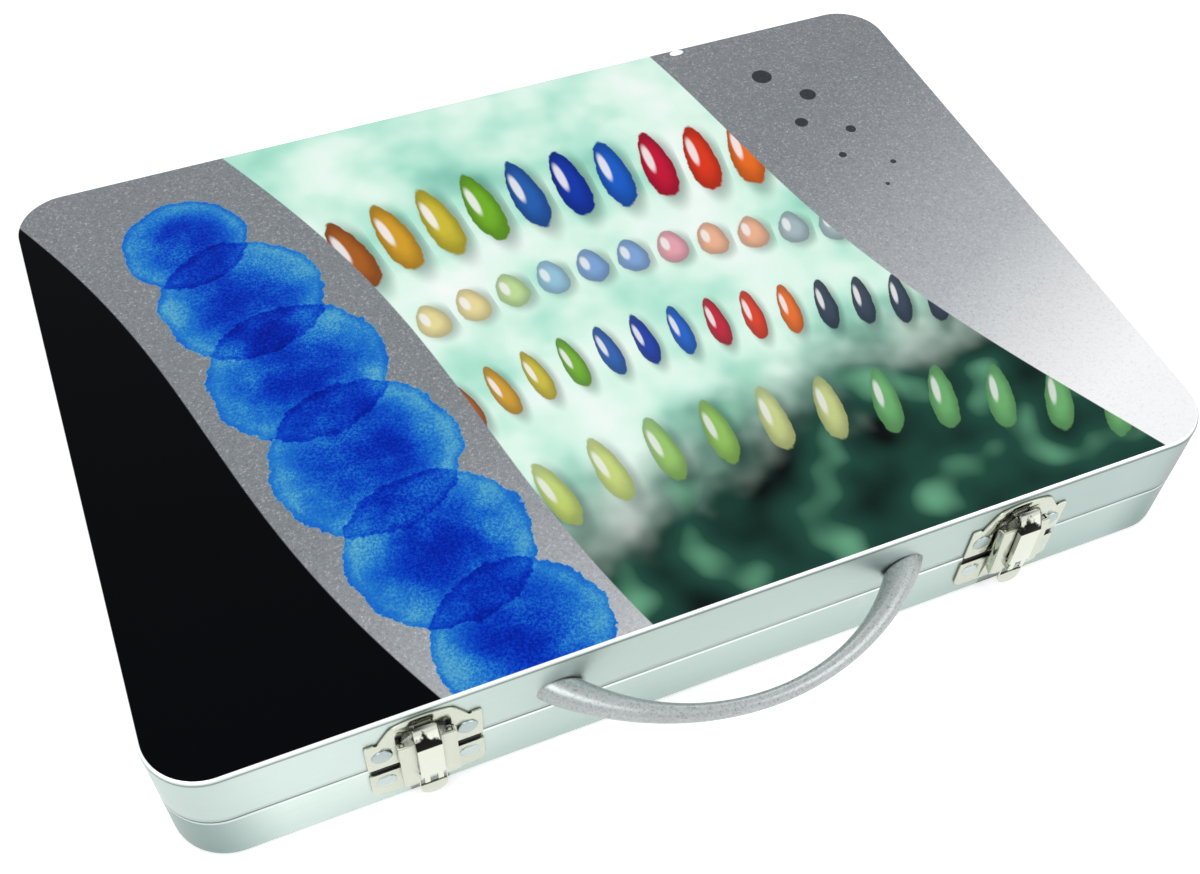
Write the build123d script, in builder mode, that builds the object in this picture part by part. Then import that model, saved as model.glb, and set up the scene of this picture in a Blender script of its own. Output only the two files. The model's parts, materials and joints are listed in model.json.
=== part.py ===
from build123d import *
from math import asin, atan2, cos, degrees, pi, radians, sin, sqrt
import os

# Watercolour paint box: a hinged tinplate case with two draw latches, a bow handle and its contents.
# Frame: origin at the centre of the case's underside, +X to the right, +Y to the back, +Z up, millimetres.

os.makedirs("parts", exist_ok=True)

# Case
case_width = 344.0
case_depth = 240.0
case_height = 49.0
seam_height = 23.5
corner_radius = 18.0
tinplate = 0.6
top_edge_radius = 1.3
bottom_edge_radius = 2.5
seam_gap = 0.3
lid_fit = 0.5
neck_clearance = 0.4
rim_curl_width = 1.8
rim_curl_height = 1.6
shoulder_radius = 0.6

# Handle
handle_span = 114.6
handle_reach = 25.6
handle_rise = 9.2
grip_width = 4.9
grip_height = 5.4
foot_width = 10.8
foot_height = 10.2
handle_sections = 9
screw_radius = 2.0
screw_length = 7.0
screw_inset = 2.8
screw_head_radius = 2.9
screw_head_height = 2.0
screw_slot_width = 0.9

# Latches
latch_spacing = 196.8
latch_plate_width = 34.6
latch_sheet = 0.8
rivet_spacing = 25.4
keeper_ear_rise = 14.7
keeper_arch_width = 27.4
keeper_crown_rise = 22.7
keeper_crown_width = 18.8
keeper_crown_drop = 1.7
keeper_crown_corner = 4.0
keeper_rivet_rise = 7.5
hook_half_width = 2.4
hook_base_rise = 15.5
hook_tip_rise = 18.7
hook_reach = 1.8
plate_top_drop = 3.2
plate_bottom_height = 7.0
plate_rivet_drop = 8.2
plate_corner_radius = 4.0
ear_inner = 6.7
ear_sheet = 0.8
ear_end_radius = 1.0
ear_keeper_gap = 0.3
lever_pivot_out = 2.7
lever_pivot_rise = 13.0
loop_pivot_out = 3.6
loop_pivot_drop = 4.9
lever_side_gap = 0.3
lever_sheet = 0.7
lever_flange_radius = 1.3
lever_web_rise = 1.4
lever_heel_length = 19.6
lever_heel_radius = 0.7
finger_length = 28.4
finger_radius = 4.2
lever_pin_radius = 0.5
lever_pin_head_radius = 0.9
loop_pin_radius = 0.6
pin_gap = 0.05
window_half_width = 3.9
window_above_pivot = 3.6
window_below_pivot = 4.9
loop_half_width = 3.7
loop_sheet = 0.7
loop_foot_out = 7.1
loop_foot_rise = 3.4
loop_shoulder_out = 6.6
loop_shoulder_rise = 13.9
hood_rise = 21.2
hood_bulge = 0.4
hood_side_drop = 2.8
hood_corner_radius = 1.8
hook_gap = 0.3
web_gap = 0.3
knuckle_wall = 0.7
knuckle_inner = 1.2
knuckle_outer = 2.8
knuckle_drop = 0.6
knuckle_setback = 0.15

# Rivets
rivet_shank_radius = 1.4
flat_head_radius = 3.2
flat_head_height = 0.5
dome_head_radius = 3.2
dome_head_height = 1.2
tail_radius = 2.5
tail_height = 0.7
head_bevel = 0.3

# Hinges
hinge_spacing = 172.0
leaf_width = 30.0
leaf_height = 12.5
leaf_sheet = 0.9
leaf_corner_radius = 3.0
knuckle_radius = 2.0
knuckle_standoff = 0.2
knuckle_end_gap = 0.2
hinge_pin_radius = 1.0
hinge_pin_head = 0.5
hinge_rivet_spacing = 18.0
hinge_rivet_rise = 7.4
hinge_head_radius = 2.4
hinge_head_height = 0.8

# Insert tray
tray_sheet = 0.8
tray_fit = 0.5
tray_height = 27.0
tray_border = 5.0
bay_rib = 4.0
tube_bay_depth = 13.5
pan_bay_depth = 10.0
shallow_bay_depth = 8.5
piece_fit = 1.0

# Tubes of paint
tube_count = 12
tube_radius = 7.5
tube_belly_length = 72.0
tube_shoulder_length = 3.0
tube_shoulder_taper = 44.0
tube_crimp_length = 5.0
tube_crimp_thickness = 1.5
tube_neck_radius = 3.6
tube_cap_radius = 5.4
tube_cap_length = 12.0

# Half pans
pan_columns = 4
pan_rows = 3
pan_length = 19.0
pan_width = 16.0
pan_height = 10.5
pan_wall = 0.8
cake_drop = 1.2

# Brushes, pencils, eraser, sharpener, palettes and pad
brush_count = 3
brush_pitch = 8.0
brush_handle_length = 160.0
brush_handle_radius = 3.1
ferrule_length = 24.0
ferrule_radius = 2.4
tuft_length = 18.0
tuft_tip_radius = 0.3
pencil_count = 2
pencil_pitch = 8.6
pencil_flats = 7.2
pencil_length = 152.0
point_length = 19.0
eraser_length = 46.0
eraser_width = 15.0
eraser_height = 9.0
sharpener_length = 24.0
sharpener_width = 14.0
sharpener_height = 9.0
sharpener_hole_radius = 4.0
blade_thickness = 0.6
blade_width = 8.0
blade_screw_radius = 2.0
blade_screw_height = 0.8
palette_height = 8.0
palette_wall = 1.2
palette_wells = 6
round_palette_height = 9.0
round_wells = 8
round_well_radius = 14.0
pad_length = 210.0
pad_width = 148.0
pad_thickness = 5.0
pad_cover = 0.4

# Places worked out from the sizes above
front_y = -case_depth / 2
back_y = case_depth / 2
neck_inset = tinplate + lid_fit
neck_height = (
    min(handle_rise - screw_head_radius, keeper_rivet_rise - tail_radius, hinge_rivet_rise - tail_radius)
    - neck_clearance
)
neck_top = seam_height + neck_height
lid_bottom = seam_height + seam_gap
front_plane = Plane.XZ.offset(case_depth / 2)
rear_plane = Plane(origin=(0, back_y, 0), x_dir=(-1, 0, 0), z_dir=(0, 1, 0))
latch_places = {"left": -latch_spacing / 2, "right": latch_spacing / 2}
hinge_places = {"left": -hinge_spacing / 2, "right": hinge_spacing / 2}
handle_z = seam_height + handle_rise
keeper_rivet_z = seam_height + keeper_rivet_rise
keeper_foot_rise = seam_gap
plate_rivet_z = seam_height - plate_rivet_drop
screw_x = handle_span / 2 - screw_inset
hinge_axis_y = back_y + knuckle_radius + knuckle_standoff


def outline(inset, mode=Mode.ADD):
    """Rounded rectangle of the case, a given distance inside its outer face."""
    radius = max(corner_radius - inset, tinplate)
    return RectangleRounded(case_width - 2 * inset, case_depth - 2 * inset, radius, mode=mode)


# Hollow of the base pan below the seam
with BuildPart() as pan_hollow:
    with BuildSketch(Plane.XY.offset(tinplate)):
        outline(tinplate)
    extrude(amount=seam_height - 2 * tinplate)
    fillet(pan_hollow.faces().sort_by(Axis.Z)[0].edges(), radius=bottom_edge_radius - tinplate)

# Base pan: bottom and wall, with the shoulder at the seam, the inset neck and its curled rim
with BuildPart() as base_pan:
    with BuildSketch():
        outline(0)
    extrude(amount=seam_height)
    fillet(base_pan.faces().sort_by(Axis.Z)[0].edges(), radius=bottom_edge_radius)
    fillet(base_pan.faces().sort_by(Axis.Z)[-1].edges(), radius=shoulder_radius)
    add(pan_hollow.part, mode=Mode.SUBTRACT)
    with BuildSketch(Plane.XY.offset(seam_height - tinplate)):
        outline(neck_inset)
    extrude(amount=neck_height + tinplate)
    with BuildSketch(Plane.XY.offset(seam_height - 2 * tinplate)):
        outline(neck_inset + tinplate)
    extrude(amount=neck_height + 2 * tinplate, mode=Mode.SUBTRACT)
    with BuildSketch(Plane.XY.offset(neck_top - rim_curl_height)):
        outline(neck_inset)
        outline(neck_inset + rim_curl_width, mode=Mode.SUBTRACT)
    extrude(amount=rim_curl_height)
    rim_edges = base_pan.faces().filter_by(Axis.Z).sort_by(Axis.Z)[-1].edges()
    chamfer(rim_edges, length=rim_curl_height / 4)
    # Holes for the rivets of the latch plates and of the hinges' base leaves
    with BuildSketch(front_plane):
        for latch_x in latch_places.values():
            with Locations((latch_x, plate_rivet_z)):
                with GridLocations(rivet_spacing, 1, 2, 1):
                    Circle(rivet_shank_radius)
    extrude(amount=-2 * tinplate, mode=Mode.SUBTRACT)
    with BuildSketch(rear_plane):
        for hinge_x in hinge_places.values():
            with Locations((hinge_x, seam_height - hinge_rivet_rise)):
                with GridLocations(hinge_rivet_spacing, 1, 2, 1):
                    Circle(rivet_shank_radius)
    extrude(amount=-2 * tinplate, mode=Mode.SUBTRACT)
base_pan.part.label = "base_pan"
export_step(base_pan.part, "parts/base_pan.step")


# Hollow of the lid
with BuildPart() as lid_hollow:
    with BuildSketch(Plane.XY.offset(lid_bottom)):
        outline(tinplate)
    extrude(amount=case_height - lid_bottom - tinplate)
    fillet(lid_hollow.faces().sort_by(Axis.Z)[-1].edges(), radius=top_edge_radius - tinplate)

# Lid shell: top and skirt, closing over the neck of the base
with BuildPart() as lid_shell:
    with BuildSketch(Plane.XY.offset(lid_bottom)):
        outline(0)
    extrude(amount=case_height - lid_bottom)
    fillet(lid_shell.faces().sort_by(Axis.Z)[-1].edges(), radius=top_edge_radius)
    add(lid_hollow.part, mode=Mode.SUBTRACT)
    # Holes for the keepers' rivets, the handle's screws and the rivets of the hinges' lid leaves
    with BuildSketch(front_plane):
        for latch_x in latch_places.values():
            with Locations((latch_x, keeper_rivet_z)):
                with GridLocations(rivet_spacing, 1, 2, 1):
                    Circle(rivet_shank_radius)
        with Locations((-screw_x, handle_z), (screw_x, handle_z)):
            Circle(screw_radius)
    extrude(amount=-2 * tinplate, mode=Mode.SUBTRACT)
    with BuildSketch(rear_plane):
        for hinge_x in hinge_places.values():
            with Locations((hinge_x, seam_height + hinge_rivet_rise)):
                with GridLocations(hinge_rivet_spacing, 1, 2, 1):
                    Circle(rivet_shank_radius)
    extrude(amount=-2 * tinplate, mode=Mode.SUBTRACT)
lid_shell.part.label = "lid_shell"
export_step(lid_shell.part, "parts/lid_shell.step")


# Handle: a bow that lies level, an arc in plan, slim at the grip and thick at both feet
bow_radius = ((handle_span / 2) ** 2 + handle_reach**2) / (2 * handle_reach)
bow_half_angle = degrees(asin(handle_span / 2 / bow_radius))
bow_centre_y = front_y - handle_reach + bow_radius
with BuildPart() as handle:
    overshoot = degrees(foot_width / bow_radius)
    for index in range(handle_sections):
        share = 2 * index / (handle_sections - 1) - 1
        angle = share * (bow_half_angle + overshoot)
        swell = min(abs(angle) / bow_half_angle, 1.0) ** 2.4
        section_plane = Plane(
            origin=(bow_radius * sin(radians(angle)), bow_centre_y - bow_radius * cos(radians(angle)), handle_z),
            x_dir=(sin(radians(angle)), -cos(radians(angle)), 0),
            z_dir=(cos(radians(angle)), sin(radians(angle)), 0),
        )
        with BuildSketch(section_plane):
            Ellipse(
                (grip_width + (foot_width - grip_width) * swell) / 2,
                (grip_height + (foot_height - grip_height) * swell) / 2,
            )
    loft()
    split(bisect_by=front_plane, keep=Keep.TOP)
    with BuildSketch(front_plane):
        with Locations((-screw_x, handle_z), (screw_x, handle_z)):
            Circle(screw_radius)
    extrude(amount=screw_length, mode=Mode.SUBTRACT)
handle.part.label = "handle"
export_step(handle.part, "parts/handle.step")


# Handle screws: pan heads inside the lid, shanks in the handle's feet
with BuildPart() as handle_screws:
    with BuildSketch(front_plane.offset(-tinplate)):
        with Locations((-screw_x, handle_z), (screw_x, handle_z)):
            Circle(screw_head_radius)
    extrude(amount=-screw_head_height)
    screw_faces = handle_screws.faces().filter_by(Axis.Y).group_by(Axis.Y)[-1]
    fillet(screw_faces.edges(), radius=screw_head_height / 3)
    with BuildSketch(front_plane.offset(-tinplate)):
        with Locations((-screw_x, handle_z), (screw_x, handle_z)):
            Circle(screw_radius)
    extrude(amount=screw_length + tinplate)
    with BuildSketch(front_plane.offset(-tinplate - screw_head_height)):
        with Locations((-screw_x, handle_z), (screw_x, handle_z)):
            Rectangle(2 * screw_head_radius, screw_slot_width)
    extrude(amount=screw_head_height / 2, mode=Mode.SUBTRACT)
handle_screws.part.label = "handle_screws"
export_step(handle_screws.part, "parts/handle_screws.step")


def rivets(places, face, head_radius, head_height, domed, grip):
    """Rivets through the front (outward = -1) or back (outward = +1) wall, one solid at each (x, z, outward).

    Half sections are drawn with local x as the radius and local y running outward; face is the plate's face.
    """
    tail_face = face - grip
    with BuildPart() as group:
        for place_x, place_z, outward in places:
            wall_y = outward * case_depth / 2
            section = Plane(origin=(place_x, wall_y, place_z), x_dir=(1, 0, 0), z_dir=(0, 0, outward))
            with BuildSketch(section):
                with BuildLine():
                    if domed:
                        head = ThreePointArc(
                            (0, face + head_height),
                            (head_radius * cos(pi / 4), face + head_height * cos(pi / 4) ** 2),
                            (head_radius, face),
                        )
                    else:
                        head = Polyline(
                            (0, face + head_height),
                            (head_radius - head_bevel, face + head_height),
                            (head_radius, face),
                        )
                    Polyline(
                        head @ 1,
                        (rivet_shank_radius, face),
                        (rivet_shank_radius, tail_face),
                        (tail_radius, tail_face),
                        (tail_radius - head_bevel, tail_face - tail_height),
                        (0, tail_face - tail_height),
                        head @ 0,
                    )
                make_face()
            revolve(axis=Axis((place_x, wall_y, place_z), (0, 1, 0)))
    return group.part


keeper_rivets = rivets(
    [(x + side * rivet_spacing / 2, keeper_rivet_z, -1) for x in latch_places.values() for side in (-1, 1)],
    latch_sheet,
    flat_head_radius,
    flat_head_height,
    False,
    latch_sheet + tinplate,
)
keeper_rivets.label = "keeper_rivets"
export_step(keeper_rivets, "parts/keeper_rivets.step")

latch_plate_rivets = rivets(
    [(x + side * rivet_spacing / 2, plate_rivet_z, -1) for x in latch_places.values() for side in (-1, 1)],
    latch_sheet,
    dome_head_radius,
    dome_head_height,
    True,
    latch_sheet + tinplate,
)
latch_plate_rivets.label = "latch_plate_rivets"
export_step(latch_plate_rivets, "parts/latch_plate_rivets.step")

for place, direction in (("base", -1), ("lid", 1)):
    rivet_z = seam_height + direction * hinge_rivet_rise
    hinge_rivets = rivets(
        [(x + side * hinge_rivet_spacing / 2, rivet_z, 1) for x in hinge_places.values() for side in (-1, 1)],
        leaf_sheet,
        hinge_head_radius,
        hinge_head_height,
        True,
        leaf_sheet + tinplate,
    )
    hinge_rivets.label = f"hinge_{place}_rivets"
    export_step(hinge_rivets, f"parts/hinge_{place}_rivets.step")


# Hinges: a base leaf with two knuckles, a lid leaf with the middle one, and a headed pin
knuckle_length = leaf_width / 3
for side, hinge_x in hinge_places.items():
    for place, direction in (("base", -1), ("lid", 1)):
        middle = place == "lid"
        with BuildPart() as leaf:
            with BuildSketch(rear_plane):
                with Locations((-hinge_x, seam_height + direction * leaf_height / 2)):
                    plate = Rectangle(leaf_width, leaf_height)
                fillet(plate.vertices().group_by(Axis.Z)[0 if direction < 0 else -1], radius=leaf_corner_radius)
            extrude(amount=leaf_sheet)
            # Knuckles curled round the pin
            knuckle_plane = Plane.YZ.offset(hinge_x)
            with BuildSketch(knuckle_plane):
                with Locations((hinge_axis_y, seam_height)):
                    Circle(knuckle_radius)
            extrude(amount=leaf_width / 2, both=True)
            # Room for the other leaf's knuckles
            rest = [0.0] if not middle else [-knuckle_length, knuckle_length]
            for offset_x in rest:
                with BuildSketch(Plane.YZ.offset(hinge_x + offset_x)):
                    with Locations((hinge_axis_y, seam_height)):
                        Circle(knuckle_radius + hinge_pin_head)
                        Rectangle(
                            2 * (knuckle_radius + knuckle_standoff), 2 * (knuckle_radius + knuckle_end_gap)
                        )
                extrude(amount=knuckle_length / 2 + knuckle_end_gap / 2, both=True, mode=Mode.SUBTRACT)
            bore = hinge_pin_radius + (pin_gap if middle else 0)
            with BuildSketch(knuckle_plane):
                with Locations((hinge_axis_y, seam_height)):
                    Circle(bore)
            extrude(amount=leaf_width, both=True, mode=Mode.SUBTRACT)
            # Holes for the leaf's rivets
            with BuildSketch(rear_plane):
                with Locations((-hinge_x, seam_height + direction * hinge_rivet_rise)):
                    with GridLocations(hinge_rivet_spacing, 1, 2, 1):
                        Circle(rivet_shank_radius)
            extrude(amount=2 * leaf_sheet, mode=Mode.SUBTRACT)
        leaf.part.label = f"{side}_hinge_{place}_leaf"
        export_step(leaf.part, f"parts/{side}_hinge_{place}_leaf.step")
    with BuildPart() as hinge_pin:
        with BuildSketch(Plane.YZ.offset(hinge_x - leaf_width / 2 - hinge_pin_head)):
            with Locations((hinge_axis_y, seam_height)):
                Circle(hinge_pin_radius)
        extrude(amount=leaf_width + 2 * hinge_pin_head)
        chamfer(hinge_pin.edges(), length=hinge_pin_radius / 4)
    hinge_pin.part.label = f"{side}_hinge_pin"
    export_step(hinge_pin.part, f"parts/{side}_hinge_pin.step")


# Latch geometry in the side view: y runs to the back, so what stands out of the front face has a lower y
lever_pivot = Vector(0, front_y - lever_pivot_out, seam_height + lever_pivot_rise)
loop_pivot = Vector(0, front_y - loop_pivot_out, seam_height - loop_pivot_drop)
pivot_distance = (lever_pivot - loop_pivot).length
down_lever = (loop_pivot - lever_pivot).normalized()
out_of_lever = Vector(0, down_lever.Z, -down_lever.Y)
web_back = ear_end_radius + 2 * pin_gap
web_front = web_back + lever_sheet
flange_inner = ear_inner + ear_sheet + lever_side_gap
lever_half_width = flange_inner + lever_sheet

# Hood of the loop: an arc from its shoulder to the front of the hook, with a crease at the shoulder
hood_end_out = hook_reach + latch_sheet + hook_gap
hood_chord = sqrt((loop_shoulder_out - hood_end_out) ** 2 + (hood_rise - loop_shoulder_rise) ** 2)
hood_radius = (hood_chord**2 / 4 + hood_bulge**2) / (2 * hood_bulge)
hood_lean = atan2(loop_shoulder_out - hood_end_out, hood_rise - loop_shoulder_rise)
hood_centre_out = (loop_shoulder_out + hood_end_out) / 2 - (hood_radius - hood_bulge) * cos(hood_lean)
hood_centre_rise = (loop_shoulder_rise + hood_rise) / 2 - (hood_radius - hood_bulge) * sin(hood_lean)


def out_and_up(out, rise):
    """Side view point: a distance out of the front face and a rise above the seam."""
    return (front_y - out, seam_height + rise)


def hood_point(depth, out):
    """Side view point of the hood, a depth below its outer face and a distance out of the front face."""
    return out_and_up(out, hood_centre_rise + sqrt((hood_radius - depth) ** 2 - (out - hood_centre_out) ** 2))


def hood_arc(depth, out_from, out_to):
    """Arc of the hood between two distances out of the front face."""
    middle = (out_from + out_to) / 2
    return ThreePointArc(hood_point(depth, out_from), hood_point(depth, middle), hood_point(depth, out_to))


for side, latch_x in latch_places.items():
    face_plane = Plane(origin=(latch_x, front_y, seam_height), x_dir=(1, 0, 0), z_dir=(0, -1, 0))
    middle_plane = Plane.YZ.offset(latch_x)
    lever_face = Plane(origin=lever_pivot + Vector(latch_x, 0, 0), x_dir=(1, 0, 0), z_dir=out_of_lever)
    lever_side = Plane(origin=lever_pivot + Vector(latch_x, 0, 0), x_dir=out_of_lever, z_dir=(1, 0, 0))

    # Keeper on the lid: a plate with two ears and a flat arch, and an upturned hook
    with BuildPart() as keeper:
        with BuildSketch(face_plane) as keeper_outline:
            half = latch_plate_width / 2
            foot = keeper_arch_width / 2
            crown = keeper_crown_width / 2
            crown_end = keeper_crown_rise - keeper_crown_drop
            with BuildLine():
                arch = ThreePointArc((-crown, crown_end), (0, keeper_crown_rise), (crown, crown_end))
                Polyline(
                    arch @ 1,
                    (foot, keeper_ear_rise - latch_sheet),
                    (foot + latch_sheet, keeper_ear_rise),
                    (half, keeper_ear_rise),
                    (half, keeper_foot_rise),
                    (-half, keeper_foot_rise),
                    (-half, keeper_ear_rise),
                    (-foot - latch_sheet, keeper_ear_rise),
                    (-foot, keeper_ear_rise - latch_sheet),
                    arch @ 0,
                )
            make_face()
            corners = keeper_outline.vertices().group_by(Axis.X)
            fillet(corners[0] + corners[-1], radius=latch_sheet)
            fillet(keeper_outline.vertices().group_by(Axis.Y)[-1], radius=keeper_crown_corner)
        extrude(amount=latch_sheet)
        with BuildSketch(middle_plane):
            with BuildLine():
                Polyline(
                    out_and_up(0, hook_base_rise),
                    out_and_up(hook_reach + latch_sheet, hook_base_rise),
                    out_and_up(hook_reach + latch_sheet, hook_tip_rise),
                    out_and_up(hook_reach, hook_tip_rise),
                    out_and_up(hook_reach, hook_base_rise + latch_sheet),
                    out_and_up(0, hook_base_rise + latch_sheet),
                    close=True,
                )
            make_face()
        extrude(amount=hook_half_width, both=True)
        # Window that the hook was bent out of, and the rivet holes
        with BuildSketch(face_plane):
            with Locations((0, (hook_base_rise + latch_sheet + hook_tip_rise) / 2)):
                Rectangle(2 * hook_half_width, hook_tip_rise - hook_base_rise - latch_sheet)
            with Locations((0, keeper_rivet_rise)):
                with GridLocations(rivet_spacing, 1, 2, 1):
                    Circle(rivet_shank_radius)
        extrude(amount=latch_sheet, mode=Mode.SUBTRACT)
    keeper.part.label = f"{side}_keeper"
    export_step(keeper.part, f"parts/{side}_keeper.step")

    # Latch plate on the base, with the two slim ears that carry the lever
    with BuildPart() as latch_plate:
        with BuildSketch(face_plane) as plate_outline:
            plate_height = seam_height - plate_top_drop - plate_bottom_height
            plate_middle = -plate_top_drop - plate_height / 2
            with Locations((0, plate_middle)):
                Rectangle(latch_plate_width, plate_height)
            fillet(plate_outline.vertices().group_by(Axis.Y)[0], radius=plate_corner_radius)
        extrude(amount=latch_sheet)
        for ear_x in (-ear_inner - ear_sheet, ear_inner):
            with BuildSketch(middle_plane.offset(ear_x)):
                with Locations((lever_pivot.Y, lever_pivot.Z)):
                    Circle(ear_end_radius)
                with Locations(out_and_up(latch_sheet / 2, plate_middle)):
                    Rectangle(latch_sheet, plate_height - 2 * latch_sheet)
                make_hull()
                keeper_room = 2 * (latch_sheet + ear_keeper_gap)
                with Locations(out_and_up(0, (hook_tip_rise - plate_top_drop) / 2)):
                    Rectangle(keeper_room, hook_tip_rise + plate_top_drop, mode=Mode.SUBTRACT)
                with Locations((lever_pivot.Y, lever_pivot.Z)):
                    Circle(lever_pin_radius, mode=Mode.SUBTRACT)
            extrude(amount=ear_sheet)
        with BuildSketch(face_plane):
            with Locations((0, -plate_rivet_drop)):
                with GridLocations(rivet_spacing, 1, 2, 1):
                    Circle(rivet_shank_radius)
        extrude(amount=latch_sheet, mode=Mode.SUBTRACT)
    latch_plate.part.label = f"{side}_latch_plate"
    export_step(latch_plate.part, f"parts/{side}_latch_plate.step")

    # Lever: a channel over the ears, with a round finger tip below and a window for the loop's knuckles
    with BuildPart() as lever:
        with BuildSketch(lever_face.offset(web_back)) as web:
            web_length = lever_web_rise + lever_heel_length + lever_heel_radius
            with Locations((0, lever_web_rise - web_length / 2)):
                Rectangle(2 * lever_half_width, web_length)
            fillet(web.vertices().group_by(Axis.Y)[0], radius=finger_radius / 2)
            with Locations((0, -(finger_length - finger_radius))):
                Circle(finger_radius)
            with Locations((0, -(finger_length - finger_radius) + finger_radius)):
                Rectangle(2 * finger_radius, 2 * finger_radius)
        extrude(amount=lever_sheet)
        for flange_x in (-lever_half_width, flange_inner):
            with BuildSketch(lever_side.offset(flange_x)):
                Circle(lever_flange_radius)
                with Locations((0, pivot_distance)):
                    Circle(lever_flange_radius)
                with Locations((web_front - lever_heel_radius, lever_heel_length)):
                    Circle(lever_heel_radius)
                with Locations((web_front - lever_heel_radius, lever_heel_radius - lever_web_rise)):
                    Circle(lever_heel_radius)
                make_hull()
            extrude(amount=lever_sheet)
        window_height = window_above_pivot + window_below_pivot
        with BuildSketch(lever_face):
            with Locations((0, -(pivot_distance + (window_below_pivot - window_above_pivot) / 2))):
                Rectangle(2 * window_half_width, window_height)
        extrude(amount=web_front + lever_sheet, mode=Mode.SUBTRACT)
        with BuildSketch(lever_side):
            Circle(lever_pin_radius + pin_gap)
            with Locations((0, pivot_distance)):
                Circle(loop_pin_radius)
        extrude(amount=lever_half_width, both=True, mode=Mode.SUBTRACT)
    lever.part.label = f"{side}_latch_lever"
    export_step(lever.part, f"parts/{side}_latch_lever.step")

    # Pin of the loop, held in the lever's flanges
    with BuildPart() as loop_pin:
        with BuildSketch(lever_side):
            with Locations((0, pivot_distance)):
                Circle(loop_pin_radius)
        extrude(amount=lever_half_width, both=True)
    loop_pin.part.label = f"{side}_loop_pin"
    export_step(loop_pin.part, f"parts/{side}_loop_pin.step")

    # Inside of the loop, rounded at the top like its outside
    foot_end = out_and_up(loop_foot_out, -loop_pivot_drop + loop_foot_rise)
    with BuildPart() as loop_hollow:
        with BuildSketch(middle_plane):
            with BuildLine():
                inner_hood = hood_arc(loop_sheet, loop_shoulder_out - loop_sheet, hook_reach)
                Polyline(
                    inner_hood @ 1,
                    (front_y - hook_reach, foot_end[1] - loop_sheet),
                    (foot_end[0] + loop_sheet, foot_end[1] - loop_sheet),
                    inner_hood @ 0,
                )
            make_face()
        extrude(amount=loop_half_width - loop_sheet, both=True)
        with BuildSketch(face_plane) as hollow_front:
            with Locations((0, 0)):
                Rectangle(2 * (loop_half_width - loop_sheet), 2 * (hood_rise - loop_sheet))
            fillet(hollow_front.vertices().group_by(Axis.Y)[-1], radius=hood_corner_radius - loop_sheet)
        extrude(amount=loop_foot_out, mode=Mode.INTERSECT)

    # Loop: a pressed channel with a hood over the hook, and two knuckles curled round its pin
    web_line = lever_pivot + out_of_lever * (web_front + web_gap)
    flange_top = web_line - down_lever * (lever_web_rise + web_gap)
    flange_foot = web_line + down_lever * (pivot_distance - loop_foot_rise)
    with BuildPart() as loop:
        with BuildSketch(middle_plane):
            with BuildLine():
                hood = hood_arc(0, loop_shoulder_out, hood_end_out)
                Polyline(
                    hood @ 1,
                    out_and_up(hood_end_out, hood_rise - hood_side_drop),
                    (flange_top.Y, flange_top.Z),
                    (flange_foot.Y, flange_foot.Z),
                    foot_end,
                    hood @ 0,
                )
            make_face()
        extrude(amount=loop_half_width, both=True)
        with BuildSketch(face_plane) as loop_front:
            with Locations((0, 0)):
                Rectangle(2 * loop_half_width, 2 * hood_rise)
            fillet(loop_front.vertices().group_by(Axis.Y)[-1], radius=hood_corner_radius)
        extrude(amount=2 * loop_foot_out, mode=Mode.INTERSECT)
        add(loop_hollow.part, mode=Mode.SUBTRACT)
        for knuckle_x in (-knuckle_outer, knuckle_inner):
            with BuildSketch(middle_plane.offset(knuckle_x)):
                with Locations((loop_pivot.Y, loop_pivot.Z)):
                    Circle(loop_pin_radius + pin_gap + knuckle_wall)
                for tab_z in (foot_end[1] + loop_sheet / 2, loop_pivot.Z - knuckle_drop):
                    with Locations((foot_end[0] + loop_sheet / 2 + knuckle_setback, tab_z)):
                        Circle(loop_sheet / 2)
                make_hull()
            extrude(amount=knuckle_outer - knuckle_inner)
        with BuildSketch(middle_plane):
            with Locations((loop_pivot.Y, loop_pivot.Z)):
                Circle(loop_pin_radius + pin_gap)
        extrude(amount=loop_half_width, both=True, mode=Mode.SUBTRACT)
    loop.part.label = f"{side}_latch_loop"
    export_step(loop.part, f"parts/{side}_latch_loop.step")


# Lever pins: a stub headed inside each ear, through it and the lever's flange
with BuildPart() as lever_pins:
    for latch_x in latch_places.values():
        for direction in (-1, 1):
            ear_plane = Plane(
                origin=(latch_x + direction * ear_inner, lever_pivot.Y, lever_pivot.Z),
                x_dir=(0, 1, 0),
                z_dir=(direction, 0, 0),
            )
            with BuildSketch(ear_plane):
                Circle(lever_pin_radius)
            extrude(amount=lever_half_width - ear_inner)
            with BuildSketch(ear_plane):
                Circle(lever_pin_head_radius)
            extrude(amount=-lever_pin_radius, taper=30)
lever_pins.part.label = "latch_lever_pins"
export_step(lever_pins.part, "parts/latch_lever_pins.step")


# Insert tray: one thin moulding that stands on the pan's floor, with a bay for each thing it holds
tray_inset = neck_inset + rim_curl_width + tray_fit
tray_right = case_width / 2 - tray_inset - tray_border
tray_left = -tray_right
tray_back = case_depth / 2 - tray_inset - tray_border
tray_front = -tray_back
tube_length = tube_crimp_length + tube_belly_length + tube_shoulder_length + tube_cap_length
tube_pitch = (tray_right - tray_left) / tube_count
tube_flat_width = pi * tube_radius
tube_bay_length = tube_length + 2 * piece_fit
tube_bay_y = tray_back - tube_bay_length / 2
tube_xs = [tray_left + (index + 0.5) * tube_pitch for index in range(tube_count)]

brush_length = brush_handle_length + ferrule_length + tuft_length
brush_bay_length = brush_length + 2 * piece_fit
brush_bay_width = brush_count * brush_pitch
brush_bay_x = tray_left + brush_bay_length / 2
brush_bay_y = tray_back - tube_bay_length - bay_rib - brush_bay_width / 2

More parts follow.
